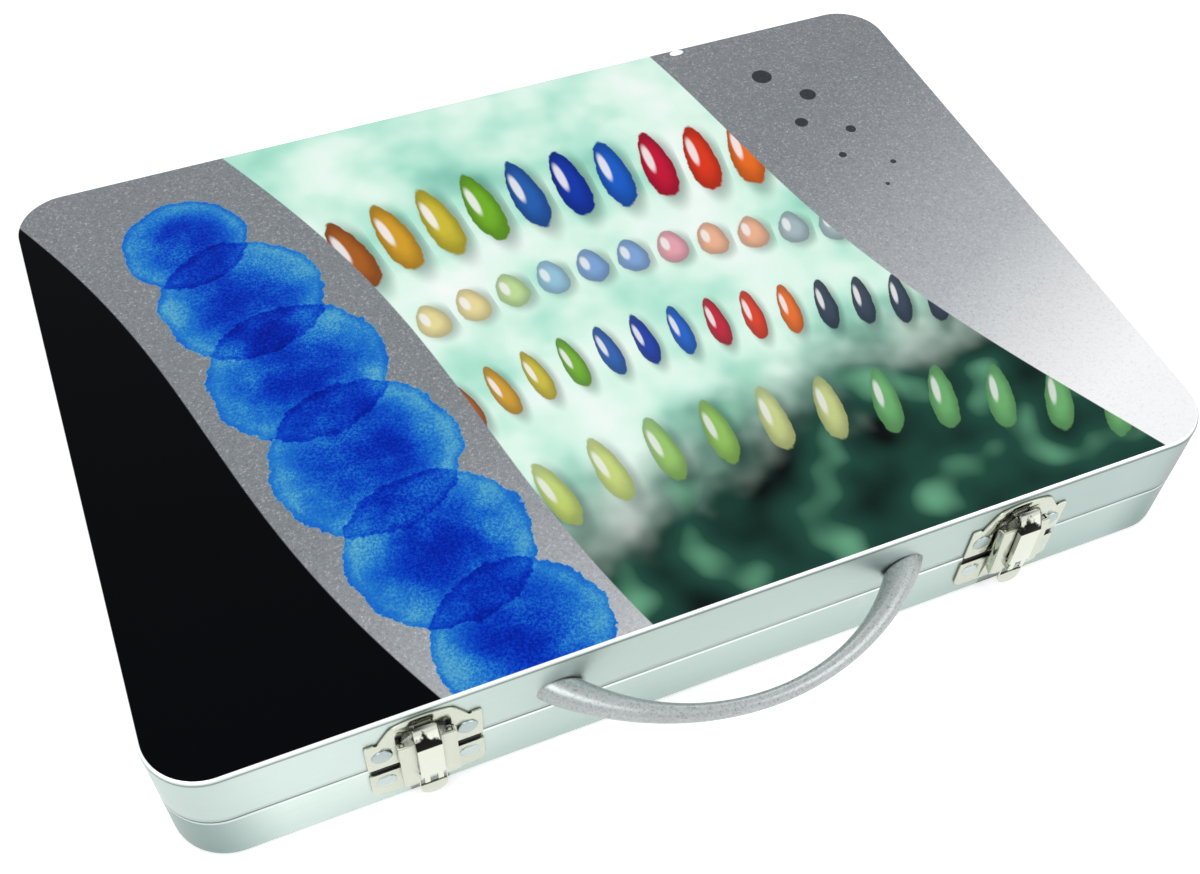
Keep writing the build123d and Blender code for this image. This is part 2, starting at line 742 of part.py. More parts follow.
pencil_bay_length = pencil_length + point_length + 2 * piece_fit
pencil_bay_width = pencil_count * pencil_pitch
pencil_bay_x = tray_left + pencil_bay_length / 2
pencil_bay_y = brush_bay_y - (brush_bay_width + pencil_bay_width) / 2 - bay_rib
sharpener_x = tray_left + pencil_bay_length + bay_rib + sharpener_length / 2 + piece_fit

left_zone_back = pencil_bay_y - pencil_bay_width / 2 - bay_rib
left_zone_right = tray_left + brush_bay_length
pan_pitch_x = pan_length + bay_rib / 2
pan_pitch_y = (left_zone_back - tray_front) / pan_rows
pan_block_x = tray_left + pan_columns * pan_pitch_x / 2
pan_block_y = (left_zone_back + tray_front) / 2

palette_bay_left = tray_left + pan_columns * pan_pitch_x + bay_rib
palette_bay_width = left_zone_right - palette_bay_left
palette_x = palette_bay_left + palette_bay_width / 2
eraser_bay_depth = eraser_width + 2 * piece_fit
palette_bay_depth = left_zone_back - tray_front - bay_rib - eraser_bay_depth
palette_depth = palette_bay_depth - 2 * piece_fit
palette_y = left_zone_back - palette_bay_depth / 2
eraser_x = palette_bay_left + eraser_length / 2 + piece_fit
eraser_y = tray_front + eraser_bay_depth / 2

round_zone_left = left_zone_right + bay_rib
round_zone_back = tray_back - tube_bay_length - bay_rib
round_x = (round_zone_left + tray_right) / 2
round_y = (round_zone_back + tray_front) / 2
round_bay_radius = min(tray_right - round_zone_left, round_zone_back - tray_front) / 2
round_palette_radius = round_bay_radius - piece_fit

tube_floor = tray_height - tube_bay_depth
pan_floor = tray_height - pan_bay_depth
shallow_floor = tray_height - shallow_bay_depth

# Each rectangular bay: centre x, centre y, length along x, length along y, height of its floor
bays = [(x, tube_bay_y, tube_flat_width + piece_fit, tube_bay_length, tube_floor) for x in tube_xs]
bays += [
    (brush_bay_x, brush_bay_y, brush_bay_length, brush_bay_width, shallow_floor),
    (pencil_bay_x, pencil_bay_y, pencil_bay_length, pencil_bay_width, shallow_floor),
    (sharpener_x, pencil_bay_y, sharpener_length + 2 * piece_fit, sharpener_width + 2 * piece_fit, shallow_floor),
    (palette_x, palette_y, palette_bay_width, palette_bay_depth, shallow_floor),
    (eraser_x, eraser_y, eraser_length + 2 * piece_fit, eraser_bay_depth, shallow_floor),
]
pan_centres = [
    (
        pan_block_x + (column - (pan_columns - 1) / 2) * pan_pitch_x,
        pan_block_y + (row - (pan_rows - 1) / 2) * pan_pitch_y,
    )
    for row in range(pan_rows)
    for column in range(pan_columns)
]
bays += [(x, y, pan_length + piece_fit / 2, pan_width + piece_fit / 2, pan_floor) for x, y in pan_centres]

with BuildPart() as insert_tray:
    with BuildSketch(Plane.XY.offset(tinplate)):
        outline(tray_inset)
    extrude(amount=tray_height - tinplate)
    with BuildSketch(Plane.XY.offset(tinplate)):
        outline(tray_inset + tray_sheet)
    extrude(amount=tray_height - tray_sheet - tinplate, mode=Mode.SUBTRACT)
    # Walls and floor of each bay, then the bay itself
    for bay_x, bay_y, length, width, floor in bays:
        with BuildSketch(Plane.XY.offset(floor - tray_sheet)):
            with Locations((bay_x, bay_y)):
                Rectangle(length + 2 * tray_sheet, width + 2 * tray_sheet)
        extrude(amount=tray_height - floor + tray_sheet / 2)
    with BuildSketch(Plane.XY.offset(shallow_floor - tray_sheet)):
        with Locations((round_x, round_y)):
            Circle(round_bay_radius + tray_sheet)
    extrude(amount=tray_height - shallow_floor + tray_sheet / 2)
    for bay_x, bay_y, length, width, floor in bays:
        with BuildSketch(Plane.XY.offset(floor)):
            with Locations((bay_x, bay_y)):
                Rectangle(length, width)
        extrude(amount=tray_height - floor, mode=Mode.SUBTRACT)
    with BuildSketch(Plane.XY.offset(shallow_floor)):
        with Locations((round_x, round_y)):
            Circle(round_bay_radius)
    extrude(amount=tray_height - shallow_floor, mode=Mode.SUBTRACT)
insert_tray.part.label = "insert_tray"
export_step(insert_tray.part, "parts/insert_tray.step")


# Tubes of paint, caps to the front: flat crimp, belly that swells to a round shoulder, and a short neck
tube_back = tube_bay_y + tube_length / 2
tube_z = tube_floor + tube_radius
belly_back = tube_back - tube_crimp_length
belly_front = belly_back - tube_belly_length
cap_back = belly_front - tube_shoulder_length
corner_share = 0.49
for index, tube_x in enumerate(tube_xs):
    with BuildPart() as tube:
        with BuildSketch(Plane.XZ.offset(-tube_back)):
            with Locations((tube_x, tube_z)):
                Rectangle(tube_flat_width, tube_crimp_thickness)
        extrude(amount=tube_crimp_length)
        with BuildSketch(Plane.XZ.offset(-belly_back)):
            with Locations((tube_x, tube_z)):
                RectangleRounded(tube_flat_width, tube_crimp_thickness, tube_crimp_thickness * corner_share)
        with BuildSketch(Plane.XZ.offset(-belly_front)):
            with Locations((tube_x, tube_z)):
                RectangleRounded(2 * tube_radius, 2 * tube_radius, 2 * tube_radius * corner_share)
        loft(ruled=True)
        with BuildSketch(Plane.XZ.offset(-belly_front)):
            with Locations((tube_x, tube_z)):
                Circle(tube_radius)
        extrude(amount=tube_shoulder_length, taper=tube_shoulder_taper)
        with BuildSketch(Plane.XZ.offset(-cap_back)):
            with Locations((tube_x, tube_z)):
                Circle(tube_neck_radius)
        extrude(amount=tube_cap_length / 2)
    tube.part.label = f"paint_tube_{index + 1:02d}"
    export_step(tube.part, f"parts/paint_tube_{index + 1:02d}.step")

with BuildPart() as tube_caps:
    for tube_x in tube_xs:
        with BuildSketch(Plane.XZ.offset(-cap_back)):
            with Locations((tube_x, tube_z)):
                Circle(tube_cap_radius)
        extrude(amount=tube_cap_length)
    chamfer(tube_caps.faces().sort_by(Axis.Y)[:tube_count].edges(), length=tube_cap_radius / 8)
    for tube_x in tube_xs:
        with BuildSketch(Plane.XZ.offset(-cap_back)):
            with Locations((tube_x, tube_z)):
                Circle(tube_neck_radius)
        extrude(amount=tube_cap_length / 2, mode=Mode.SUBTRACT)
tube_caps.part.label = "tube_caps"
export_step(tube_caps.part, "parts/tube_caps.step")


# Half pans: an open cup with a cake of paint in it
with BuildPart() as pan_cups:
    with BuildSketch(Plane.XY.offset(pan_floor)):
        with Locations(*pan_centres):
            Rectangle(pan_length, pan_width)
    extrude(amount=pan_height)
    with BuildSketch(Plane.XY.offset(pan_floor + pan_wall)):
        with Locations(*pan_centres):
            Rectangle(pan_length - 2 * pan_wall, pan_width - 2 * pan_wall)
    extrude(amount=pan_height - pan_wall, mode=Mode.SUBTRACT)
pan_cups.part.label = "pan_cups"
export_step(pan_cups.part, "parts/pan_cups.step")

with BuildPart() as paint_cakes:
    with BuildSketch(Plane.XY.offset(pan_floor + pan_wall)):
        with Locations(*pan_centres):
            Rectangle(pan_length - 2 * pan_wall, pan_width - 2 * pan_wall)
    extrude(amount=pan_height - pan_wall - cake_drop)
paint_cakes.part.label = "paint_cakes"
export_step(paint_cakes.part, "parts/paint_cakes.step")


# Brushes: turned handle, metal ferrule and pointed tuft on one axis, tufts to the right
brush_left = brush_bay_x - brush_length / 2
ferrule_left = brush_left + brush_handle_length
tuft_left = ferrule_left + ferrule_length
brush_z = shallow_floor + brush_handle_radius
brush_ys = [brush_bay_y + (index - (brush_count - 1) / 2) * brush_pitch for index in range(brush_count)]
brush_pieces = {
    "brush_handles": (
        brush_left,
        [
            (0, brush_handle_radius / 3),
            (brush_handle_length * 0.7, brush_handle_radius),
            (brush_handle_length * 0.9, brush_handle_radius),
            (brush_handle_length, ferrule_radius),
        ],
    ),
    "brush_ferrules": (
        ferrule_left,
        [(0, ferrule_radius), (ferrule_length * 0.4, ferrule_radius), (ferrule_length, ferrule_radius * 0.8)],
    ),
    "brush_tufts": (
        tuft_left,
        [(0, ferrule_radius * 0.8), (tuft_length * 0.4, ferrule_radius), (tuft_length, tuft_tip_radius)],
    ),
}
for name, (left_end, profile) in brush_pieces.items():
    with BuildPart() as brush_piece:
        for brush_y in brush_ys:
            with BuildSketch(Plane.XZ.offset(-brush_y)):
                with Locations((left_end, brush_z)):
                    Polygon((0, 0), *profile, (profile[-1][0], 0), align=None)
            revolve(axis=Axis((left_end, brush_y, brush_z), (1, 0, 0)))
    brush_piece.part.label = name
    export_step(brush_piece.part, f"parts/{name}.step")


# Pencils: six-sided barrel and sharpened point, points to the right
pencil_left = pencil_bay_x - (pencil_length + point_length) / 2
pencil_z = shallow_floor + pencil_flats / 2
pencil_ys = [pencil_bay_y + (index - (pencil_count - 1) / 2) * pencil_pitch for index in range(pencil_count)]
with BuildPart() as pencil_barrels:
    with BuildSketch(Plane.YZ.offset(pencil_left)):
        with Locations(*[(y, pencil_z) for y in pencil_ys]):
            RegularPolygon(pencil_flats / 2, 6, major_radius=False)
    extrude(amount=pencil_length)
pencil_barrels.part.label = "pencil_barrels"
export_step(pencil_barrels.part, "parts/pencil_barrels.step")

with BuildPart() as pencil_points:
    for pencil_y in pencil_ys:
        with BuildSketch(Plane.XZ.offset(-pencil_y)):
            with Locations((pencil_left + pencil_length, pencil_z)):
                Polygon((0, 0), (0, pencil_flats / 2), (point_length, tuft_tip_radius), (point_length, 0), align=None)
        revolve(axis=Axis((pencil_left, pencil_y, pencil_z), (1, 0, 0)))
pencil_points.part.label = "pencil_points"
export_step(pencil_points.part, "parts/pencil_points.step")


# Eraser
with BuildPart() as eraser:
    with BuildSketch(Plane.XY.offset(shallow_floor)):
        with Locations((eraser_x, eraser_y)):
            Rectangle(eraser_length, eraser_width)
    extrude(amount=eraser_height)
    chamfer(eraser.edges(), length=eraser_height / 12)
eraser.part.label = "eraser"
export_step(eraser.part, "parts/eraser.step")


# Sharpener: wedge with a conical hole, a blade and its screw
sharpener_top = shallow_floor + sharpener_height
blade_length = sharpener_length * 0.9
with BuildPart() as sharpener_body:
    with BuildSketch(Plane.XY.offset(shallow_floor)):
        with Locations((sharpener_x, pencil_bay_y)):
            Rectangle(sharpener_length, sharpener_width)
    extrude(amount=sharpener_height)
    with BuildSketch(Plane.XZ.offset(-pencil_bay_y)):
        with Locations((sharpener_x - sharpener_length / 2, shallow_floor + sharpener_height / 2)):
            Polygon(
                (0, 0),
                (0, sharpener_hole_radius),
                (sharpener_length, tuft_tip_radius),
                (sharpener_length, 0),
                align=None,
            )
    hole_axis = Axis((sharpener_x, pencil_bay_y, shallow_floor + sharpener_height / 2), (1, 0, 0))
    revolve(axis=hole_axis, mode=Mode.SUBTRACT)
    with BuildSketch(Plane.XY.offset(sharpener_top)):
        with Locations((sharpener_x, pencil_bay_y)):
            Circle(blade_screw_radius / 2)
    extrude(amount=-sharpener_height / 4, mode=Mode.SUBTRACT)
sharpener_body.part.label = "sharpener_body"
export_step(sharpener_body.part, "parts/sharpener_body.step")

with BuildPart() as sharpener_blade:
    with BuildSketch(Plane.XY.offset(sharpener_top)):
        with Locations((sharpener_x, pencil_bay_y)):
            Rectangle(blade_length, blade_width)
            Circle(blade_screw_radius / 2, mode=Mode.SUBTRACT)
    extrude(amount=blade_thickness)
sharpener_blade.part.label = "sharpener_blade"
export_step(sharpener_blade.part, "parts/sharpener_blade.step")

with BuildPart() as sharpener_screw:
    with BuildSketch(Plane.XY.offset(sharpener_top + blade_thickness)):
        with Locations((sharpener_x, pencil_bay_y)):
            Circle(blade_screw_radius)
    extrude(amount=blade_screw_height)
    with BuildSketch(Plane.XY.offset(sharpener_top + blade_thickness)):
        with Locations((sharpener_x, pencil_bay_y)):
            Circle(blade_screw_radius / 2)
    extrude(amount=-blade_thickness - sharpener_height / 4)
sharpener_screw.part.label = "sharpener_screw"
export_step(sharpener_screw.part, "parts/sharpener_screw.step")


# Rectangular palette: a row of wells at the back and three mixing areas in front
palette_width = palette_bay_width - 2 * piece_fit
well_pitch = (palette_width - palette_wall) / palette_wells
mixing_pitch = (palette_width - palette_wall) / 3
well_depth = palette_depth / 3
mixing_depth = palette_depth - well_depth - 3 * palette_wall
with BuildPart() as palette:
    with BuildSketch(Plane.XY.offset(shallow_floor)):
        with Locations((palette_x, palette_y)):
            Rectangle(palette_width, palette_depth)
    extrude(amount=palette_height)
    with BuildSketch(Plane.XY.offset(shallow_floor + palette_wall)):
        with Locations((palette_x, palette_y + palette_depth / 2 - palette_wall - well_depth / 2)):
            with GridLocations(well_pitch, 1, palette_wells, 1):
                Rectangle(well_pitch - palette_wall, well_depth)
        with Locations((palette_x, palette_y - palette_depth / 2 + palette_wall + mixing_depth / 2)):
            with GridLocations(mixing_pitch, 1, 3, 1):
                Rectangle(mixing_pitch - palette_wall, mixing_depth)
    extrude(amount=palette_height - palette_wall, mode=Mode.SUBTRACT)
palette.part.label = "palette"
export_step(palette.part, "parts/palette.step")


# Round palette: a ring of wells about a central one
with BuildPart() as round_palette:
    with BuildSketch(Plane.XY.offset(shallow_floor)):
        with Locations((round_x, round_y)):
            Circle(round_palette_radius)
    extrude(amount=round_palette_height)
    with BuildSketch(Plane.XY.offset(shallow_floor + palette_wall)):
        ring_radius = round_palette_radius - round_well_radius - 2 * palette_wall
        with Locations((round_x, round_y)):
            with PolarLocations(ring_radius, round_wells):
                Circle(round_well_radius)
            Circle(ring_radius - round_well_radius - 2 * palette_wall)
    extrude(amount=round_palette_height - palette_wall, mode=Mode.SUBTRACT)
round_palette.part.label = "round_palette"
export_step(round_palette.part, "parts/round_palette.step")


# Paper pad under the tray: sheets, and a cover on top
with BuildPart() as pad_sheets:
    with BuildSketch(Plane.XY.offset(tinplate)):
        Rectangle(pad_length, pad_width)
    extrude(amount=pad_thickness)
pad_sheets.part.label = "pad_sheets"
export_step(pad_sheets.part, "parts/pad_sheets.step")

with BuildPart() as pad_top:
    with BuildSketch(Plane.XY.offset(tinplate + pad_thickness)):
        Rectangle(pad_length, pad_width)
    extrude(amount=pad_cover)
pad_top.part.label = "pad_cover"
export_step(pad_top.part, "parts/pad_cover.step")
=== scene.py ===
import json
import math

import bmesh
import bpy
from mathutils import Matrix, Vector

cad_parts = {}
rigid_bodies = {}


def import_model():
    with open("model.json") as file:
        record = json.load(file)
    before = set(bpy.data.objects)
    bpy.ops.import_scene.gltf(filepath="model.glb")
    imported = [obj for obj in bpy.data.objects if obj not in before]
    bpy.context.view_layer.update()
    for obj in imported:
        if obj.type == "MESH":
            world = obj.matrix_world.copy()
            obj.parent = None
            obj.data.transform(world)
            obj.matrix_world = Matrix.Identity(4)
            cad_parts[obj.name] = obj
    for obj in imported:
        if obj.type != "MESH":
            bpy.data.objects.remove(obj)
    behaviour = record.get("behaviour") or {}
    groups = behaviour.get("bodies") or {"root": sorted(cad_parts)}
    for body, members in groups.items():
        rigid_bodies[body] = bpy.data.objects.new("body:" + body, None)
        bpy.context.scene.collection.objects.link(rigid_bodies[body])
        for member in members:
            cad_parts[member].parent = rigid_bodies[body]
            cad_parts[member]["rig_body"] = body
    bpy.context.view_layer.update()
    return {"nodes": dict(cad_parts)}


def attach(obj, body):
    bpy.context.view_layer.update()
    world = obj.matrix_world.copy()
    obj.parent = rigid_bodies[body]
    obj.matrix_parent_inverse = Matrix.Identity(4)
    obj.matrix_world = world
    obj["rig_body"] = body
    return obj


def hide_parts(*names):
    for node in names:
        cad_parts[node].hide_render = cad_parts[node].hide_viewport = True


# A tinplate paint box in metres: origin at the centre of its underside, +X right, +Y back, +Z up
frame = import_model()
nodes = frame["nodes"]
MM = 0.001

# Sizes of the case in millimetres, as in the CAD source
WIDTH, DEPTH, HEIGHT = 344.0, 240.0, 49.0
FRONT = -DEPTH / 2
SEAM, SEAM_GAP = 23.5, 0.3
CORNER = 18.0
TIN = 0.6
TOP_ROUND, BOTTOM_ROUND, SHOULDER_ROUND = 1.3, 2.5, 0.6
NECK_INSET, NECK_TOP = 1.1, 28.0
CURL_WIDTH, CURL_HEIGHT = 1.8, 1.6
HANDLE_Z = 32.7
HANDLE_SPAN, HANDLE_REACH = 114.6, 25.6
GRIP = (4.9, 5.4)
FOOT = (10.8, 10.2)
LATCH_X = 98.4
PLATE_WIDTH = 34.6
PLATE_TOP, KEEPER_FOOT = 20.3, 23.8
LOOP_HALF_WIDTH = 3.7
HOOD_FOOT, HOOD_TOP = 37.4, 44.7

# Fine forms of the tubes, in mm, and the number of ribs on each cap
CRIMP_LENGTH = 5.0
TUBE_NECK_RADIUS = 3.6
CAP_RIBS = 36

# Where along the front the seam's gap closes and its painted shade fades, in mm right of the middle
SEAM_MIDDLE = 2.0

# Facets round a quarter of the case; degrees from which an edge is rounded, and from which it looks sharp
CORNER_STEPS = 14
CREASE_ANGLE, SMOOTH_ANGLE = 35, 40

# The printed design, in mm on the lid: round washes, rows of dabs on arcs and ink drops
WASHES = [
    ((-118.0, 80.0), 22.0), ((-106.0, 48.0), 28.0), ((-97.0, 10.0), 30.0), ((-87.0, -31.0), 31.0),
    ((-76.0, -71.0), 29.0), ((-64.0, -109.0), 27.0),
]
FAN_CENTRE = (10.0, -330.0)
INK_DROPS = [
    ((112.0, 92.0), 4.2), ((124.0, 76.0), 3.4), ((114.0, 62.0), 2.7), ((130.0, 52.0), 2.1),
    ((120.0, 40.0), 1.6), ((136.0, 30.0), 1.2), ((128.0, 20.0), 0.9),
]
WORN_SPOT, WORN_SIZE = (86.6, 117.4), (3.2, 1.7)


# Node graphs written as arithmetic
class Graph:
    """A material whose colours and values are written as expressions of the place x, y, z in mm."""

    def __init__(self, name):
        self.material = bpy.data.materials.new(name)
        self.material.use_nodes = True
        self.tree = self.material.node_tree
        self.shader = self.tree.nodes["Principled BSDF"]
        scaled = self.node("ShaderNodeVectorMath", operation="SCALE")
        scaled.inputs["Scale"].default_value = 1 / MM
        self.tree.links.new(self.node("ShaderNodeTexCoord").outputs["Object"], scaled.inputs[0])
        self.place = Term(self, scaled.outputs[0])
        apart = self.node("ShaderNodeSeparateXYZ")
        self.put(apart.inputs[0], self.place)
        self.x, self.y, self.z = (Term(self, output) for output in apart.outputs)

    def node(self, kind, **settings):
        made = self.tree.nodes.new(kind)
        for key, value in settings.items():
            setattr(made, key, value)
        return made

    def put(self, socket, value):
        if isinstance(value, Term):
            self.tree.links.new(value.socket, socket)
        elif isinstance(value, (tuple, list)) and len(value) == 3 and socket.type == "RGBA":
            socket.default_value = (*value, 1.0)
        else:
            socket.default_value = value

    def math(self, operation, *values):
        made = self.node("ShaderNodeMath", operation=operation)
        for socket, value in zip(made.inputs, values):
            self.put(socket, value)
        return Term(self, made.outputs[0])

    def reach(self, across, along):
        """Length of a vector in a plane."""
        return (across * across + along * along).root()

    def noise(self, size, detail=2.0, rough=0.5, stretch=None):
        """Noise from 0 to 1 whose features are about `size` mm across."""
        vector = self.place
        if stretch:
            scaled = self.node("ShaderNodeVectorMath", operation="MULTIPLY")
            self.put(scaled.inputs[0], vector)
            scaled.inputs[1].default_value = stretch
            vector = Term(self, scaled.outputs[0])
        made = self.node("ShaderNodeTexNoise")
        self.put(made.inputs["Vector"], vector)
        made.inputs["Scale"].default_value = 1 / size
        made.inputs["Detail"].default_value = detail
        made.inputs["Roughness"].default_value = rough
        return Term(self, made.outputs["Fac"])

    def step(self, value, low, high, out_low=0.0, out_high=1.0):
        """Smooth step from out_low to out_high as value goes from low to high."""
        made = self.node("ShaderNodeMapRange", interpolation_type="SMOOTHSTEP")
        self.put(made.inputs["Value"], value)
        for key, end in (("From Min", low), ("From Max", high), ("To Min", out_low), ("To Max", out_high)):
            self.put(made.inputs[key], end)
        return Term(self, made.outputs["Result"])

    def fall(self, value, low, high):
        """Smooth step down from 1 to 0."""
        return self.step(value, low, high, 1.0, 0.0)

    def band(self, value, low, full_from, full_to, high):
        """0 outside low and high, 1 between full_from and full_to."""
        return self.step(value, low, full_from) * self.fall(value, full_to, high)

    def mix(self, share, first, second):
        made = self.node("ShaderNodeMix", data_type="RGBA", clamp_factor=True)
        for index, value in ((0, share), (6, first), (7, second)):
            self.put(made.inputs[index], value)
        return Term(self, made.outputs[2])

    def dim(self, share, colour):
        """A colour at a share of its brightness."""
        return self.mix(share, (0.0, 0.0, 0.0), colour)

    def ramp(self, value, stops, stepped=False):
        made = self.node("ShaderNodeValToRGB")
        elements = made.color_ramp.elements
        if stepped:
            made.color_ramp.interpolation = "CONSTANT"
        while len(elements) < len(stops):
            elements.new(0.5)
        for element, (position, colour) in zip(elements, stops):
            element.position = position
            element.color = (*colour, 1.0)
        self.put(made.inputs[0], value)
        return Term(self, made.outputs[0])

    def bump(self, height, depth, strength):
        """Bump of `depth` mm for height from 0 to 1."""
        made = self.node("ShaderNodeBump")
        made.inputs["Strength"].default_value = strength
        made.inputs["Distance"].default_value = depth * MM
        self.put(made.inputs["Height"], height)
        self.tree.links.new(made.outputs[0], self.shader.inputs["Normal"])

    def open_space(self, distance):
        """1 in the open, falling toward 0 where other surfaces stand within `distance` mm."""
        made = self.node("ShaderNodeAmbientOcclusion", samples=8)
        made.inputs["Distance"].default_value = distance * MM
        return Term(self, made.outputs["AO"])

    def finish(self, **values):
        for key, value in values.items():
            self.put(self.shader.inputs[key.replace("_", " ")], value)
        return self.material


class Term:
    """An output in a Graph; arithmetic on it adds math nodes."""

    def __init__(self, graph, socket):
        self.graph, self.socket = graph, socket

    def __add__(self, other):
        return self.graph.math("ADD", self, other)

    def __radd__(self, other):
        return self.graph.math("ADD", other, self)

    def __sub__(self, other):
        return self.graph.math("SUBTRACT", self, other)

    def __rsub__(self, other):
        return self.graph.math("SUBTRACT", other, self)

    def __mul__(self, other):
        return self.graph.math("MULTIPLY", self, other)

    def __rmul__(self, other):
        return self.graph.math("MULTIPLY", other, self)

    def __truediv__(self, other):
        return self.graph.math("DIVIDE", self, other)

    def abs(self):
        return self.graph.math("ABSOLUTE", self)

    def sign(self):
        return self.graph.math("SIGN", self)

    def most(self, other):
        return self.graph.math("MAXIMUM", self, other)

    def sin(self):
        return self.graph.math("SINE", self)

    def root(self):
        return self.graph.math("SQRT", self)

    def floor(self):
        return self.graph.math("FLOOR", self)

    def fraction(self):
        return self.graph.math("FRACT", self)

    def angle(self, other):
        return self.graph.math("ARCTAN2", self, other)


def srgb(red, green, blue):
    """Linear colour from 8-bit display values."""
    return tuple(
        value / 255 / 12.92 if value / 255 <= 0.04045 else ((value / 255 + 0.055) / 1.055) ** 2.4
        for value in (red, green, blue)
    )


# Colours of the dabs by place along a row, then the rows themselves:
# (arc radius, pitch, half length, half width) in mm, start of the count, colours, strength
BOLD = [
    (0.0, srgb(120, 70, 36)), (0.22, srgb(170, 96, 40)), (0.3, srgb(212, 160, 48)),
    (0.35, srgb(206, 190, 60)), (0.4, srgb(116, 178, 44)), (0.45, srgb(40, 96, 176)),
    (0.5, srgb(22, 58, 170)), (0.55, srgb(30, 96, 200)), (0.6, srgb(196, 26, 58)),
    (0.65, srgb(222, 60, 34)), (0.7, srgb(236, 112, 40)), (0.75, srgb(60, 70, 90)),
]
DILUTE = [
    (0.0, srgb(214, 180, 140)), (0.3, srgb(240, 222, 150)), (0.4, srgb(196, 226, 150)),
    (0.45, srgb(150, 198, 226)), (0.5, srgb(120, 160, 220)), (0.6, srgb(240, 160, 176)),
    (0.65, srgb(246, 178, 140)), (0.75, srgb(170, 186, 196)),
]
DEEP_ROW = [
    (0.0, srgb(206, 222, 110)), (0.45, srgb(158, 206, 96)), (0.55, srgb(216, 226, 150)),
    (0.65, srgb(120, 190, 120)),
]
DAB_ROWS = [
    ((392.0, 17.0, 19.0, 6.0), 0.0, BOLD, 1.0),
    ((350.0, 15.0, 8.5, 5.6), 0.5, DILUTE, 0.85),
    ((312.0, 13.0, 12.0, 3.6), 0.25, BOLD, 0.95),
    ((268.0, 19.0, 14.0, 4.6), 0.0, DEEP_ROW, 0.8),
]

# Paints of the tubes and half pans, the latches' nickel, the tone that the bare tin's painted shade runs to,
# and the tin's surface
TUBE_COLOURS = [
    srgb(248, 214, 40), srgb(236, 130, 26), srgb(214, 40, 36), srgb(176, 22, 66), srgb(120, 40, 130),
    srgb(28, 52, 160), srgb(24, 118, 196), srgb(20, 130, 110), srgb(98, 156, 44), srgb(196, 142, 52),
    srgb(122, 62, 34), srgb(24, 26, 30),
]
NICKEL = srgb(203, 207, 192)
SHADE_TONE = srgb(44, 92, 90)
TIN_METALLIC, TIN_ROUGHNESS = 0.8, 0.36


# Meshes
def new_object(name, mesh_maker, material, body, replaced, smooth_angle):
    mesh = bpy.data.meshes.new(name)
    made = bmesh.new()
    mesh_maker(made)
    bmesh.ops.recalc_face_normals(made, faces=made.faces)
    made.to_mesh(mesh)
    made.free()
    piece = bpy.data.objects.new(name, mesh)
    bpy.context.scene.collection.objects.link(piece)
    mesh.shade_smooth()
    mesh.set_sharp_from_angle(angle=math.radians(smooth_angle))
    mesh.materials.append(material)
    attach(piece, body)
    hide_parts(*replaced)


def circle(count):
    """Cosine and sine of even steps round a circle."""
    turns = [2 * math.pi * step / count for step in range(count)]
    return [(math.cos(turn), math.sin(turn)) for turn in turns]


def case_ring(inset, z):
    """Points of the case's rounded outline, a distance inside its outer face."""
    radius = CORNER - inset
    points = []
    for quarter in range(4):
        centre_x = (WIDTH / 2 - CORNER) * (1, -1, -1, 1)[quarter]
        centre_y = (DEPTH / 2 - CORNER) * (1, 1, -1, -1)[quarter]
        for step in range(CORNER_STEPS + 1):
            angle = math.pi / 2 * (quarter + step / CORNER_STEPS)
            points.append((centre_x + radius * math.cos(angle), centre_y + radius * math.sin(angle), z))
    return points


def loft(made, rings):
    """Skins closed rings of equal length, in mm, and caps the first and the last."""
    rows = [[made.verts.new(Vector(point) * MM) for point in ring] for ring in rings]
    count = len(rows[0])
    for lower, upper in zip(rows, rows[1:]):
        for index in range(count):
            after = (index + 1) % count
            made.faces.new((lower[index], lower[after], upper[after], upper[index]))
    made.faces.new(rows[0])
    made.faces.new(rows[-1])


def rounded(inset_from, z_from, inset_to, z_to, steps, upright_first):
    """Insets and heights of a quarter round between two profile points."""
    points = []
    for step in range(1, steps + 1):
        angle = math.pi / 2 * step / steps
        shares = (1 - math.cos(angle), math.sin(angle))
        across, up = shares if upright_first else reversed(shares)
        points.append((inset_from + (inset_to - inset_from) * across, z_from + (z_to - z_from) * up))
    return points


def lid_profile(made):
    bottom, shoulder = SEAM + SEAM_GAP, HEIGHT - TOP_ROUND
    hem, support = 0.12, 3.0
    profile = [(TIN, HEIGHT - TIN), (TIN, bottom + hem), (TIN - hem, bottom), (hem, bottom)]
    profile += [(0, bottom + hem), (0, bottom + support), (0, shoulder - support), (0, shoulder)]
    profile += rounded(0, shoulder, TOP_ROUND, HEIGHT, 7, upright_first=True)
    profile += [(TOP_ROUND + support / 2, HEIGHT), (8, HEIGHT)]
    loft(made, [case_ring(*point) for point in profile])


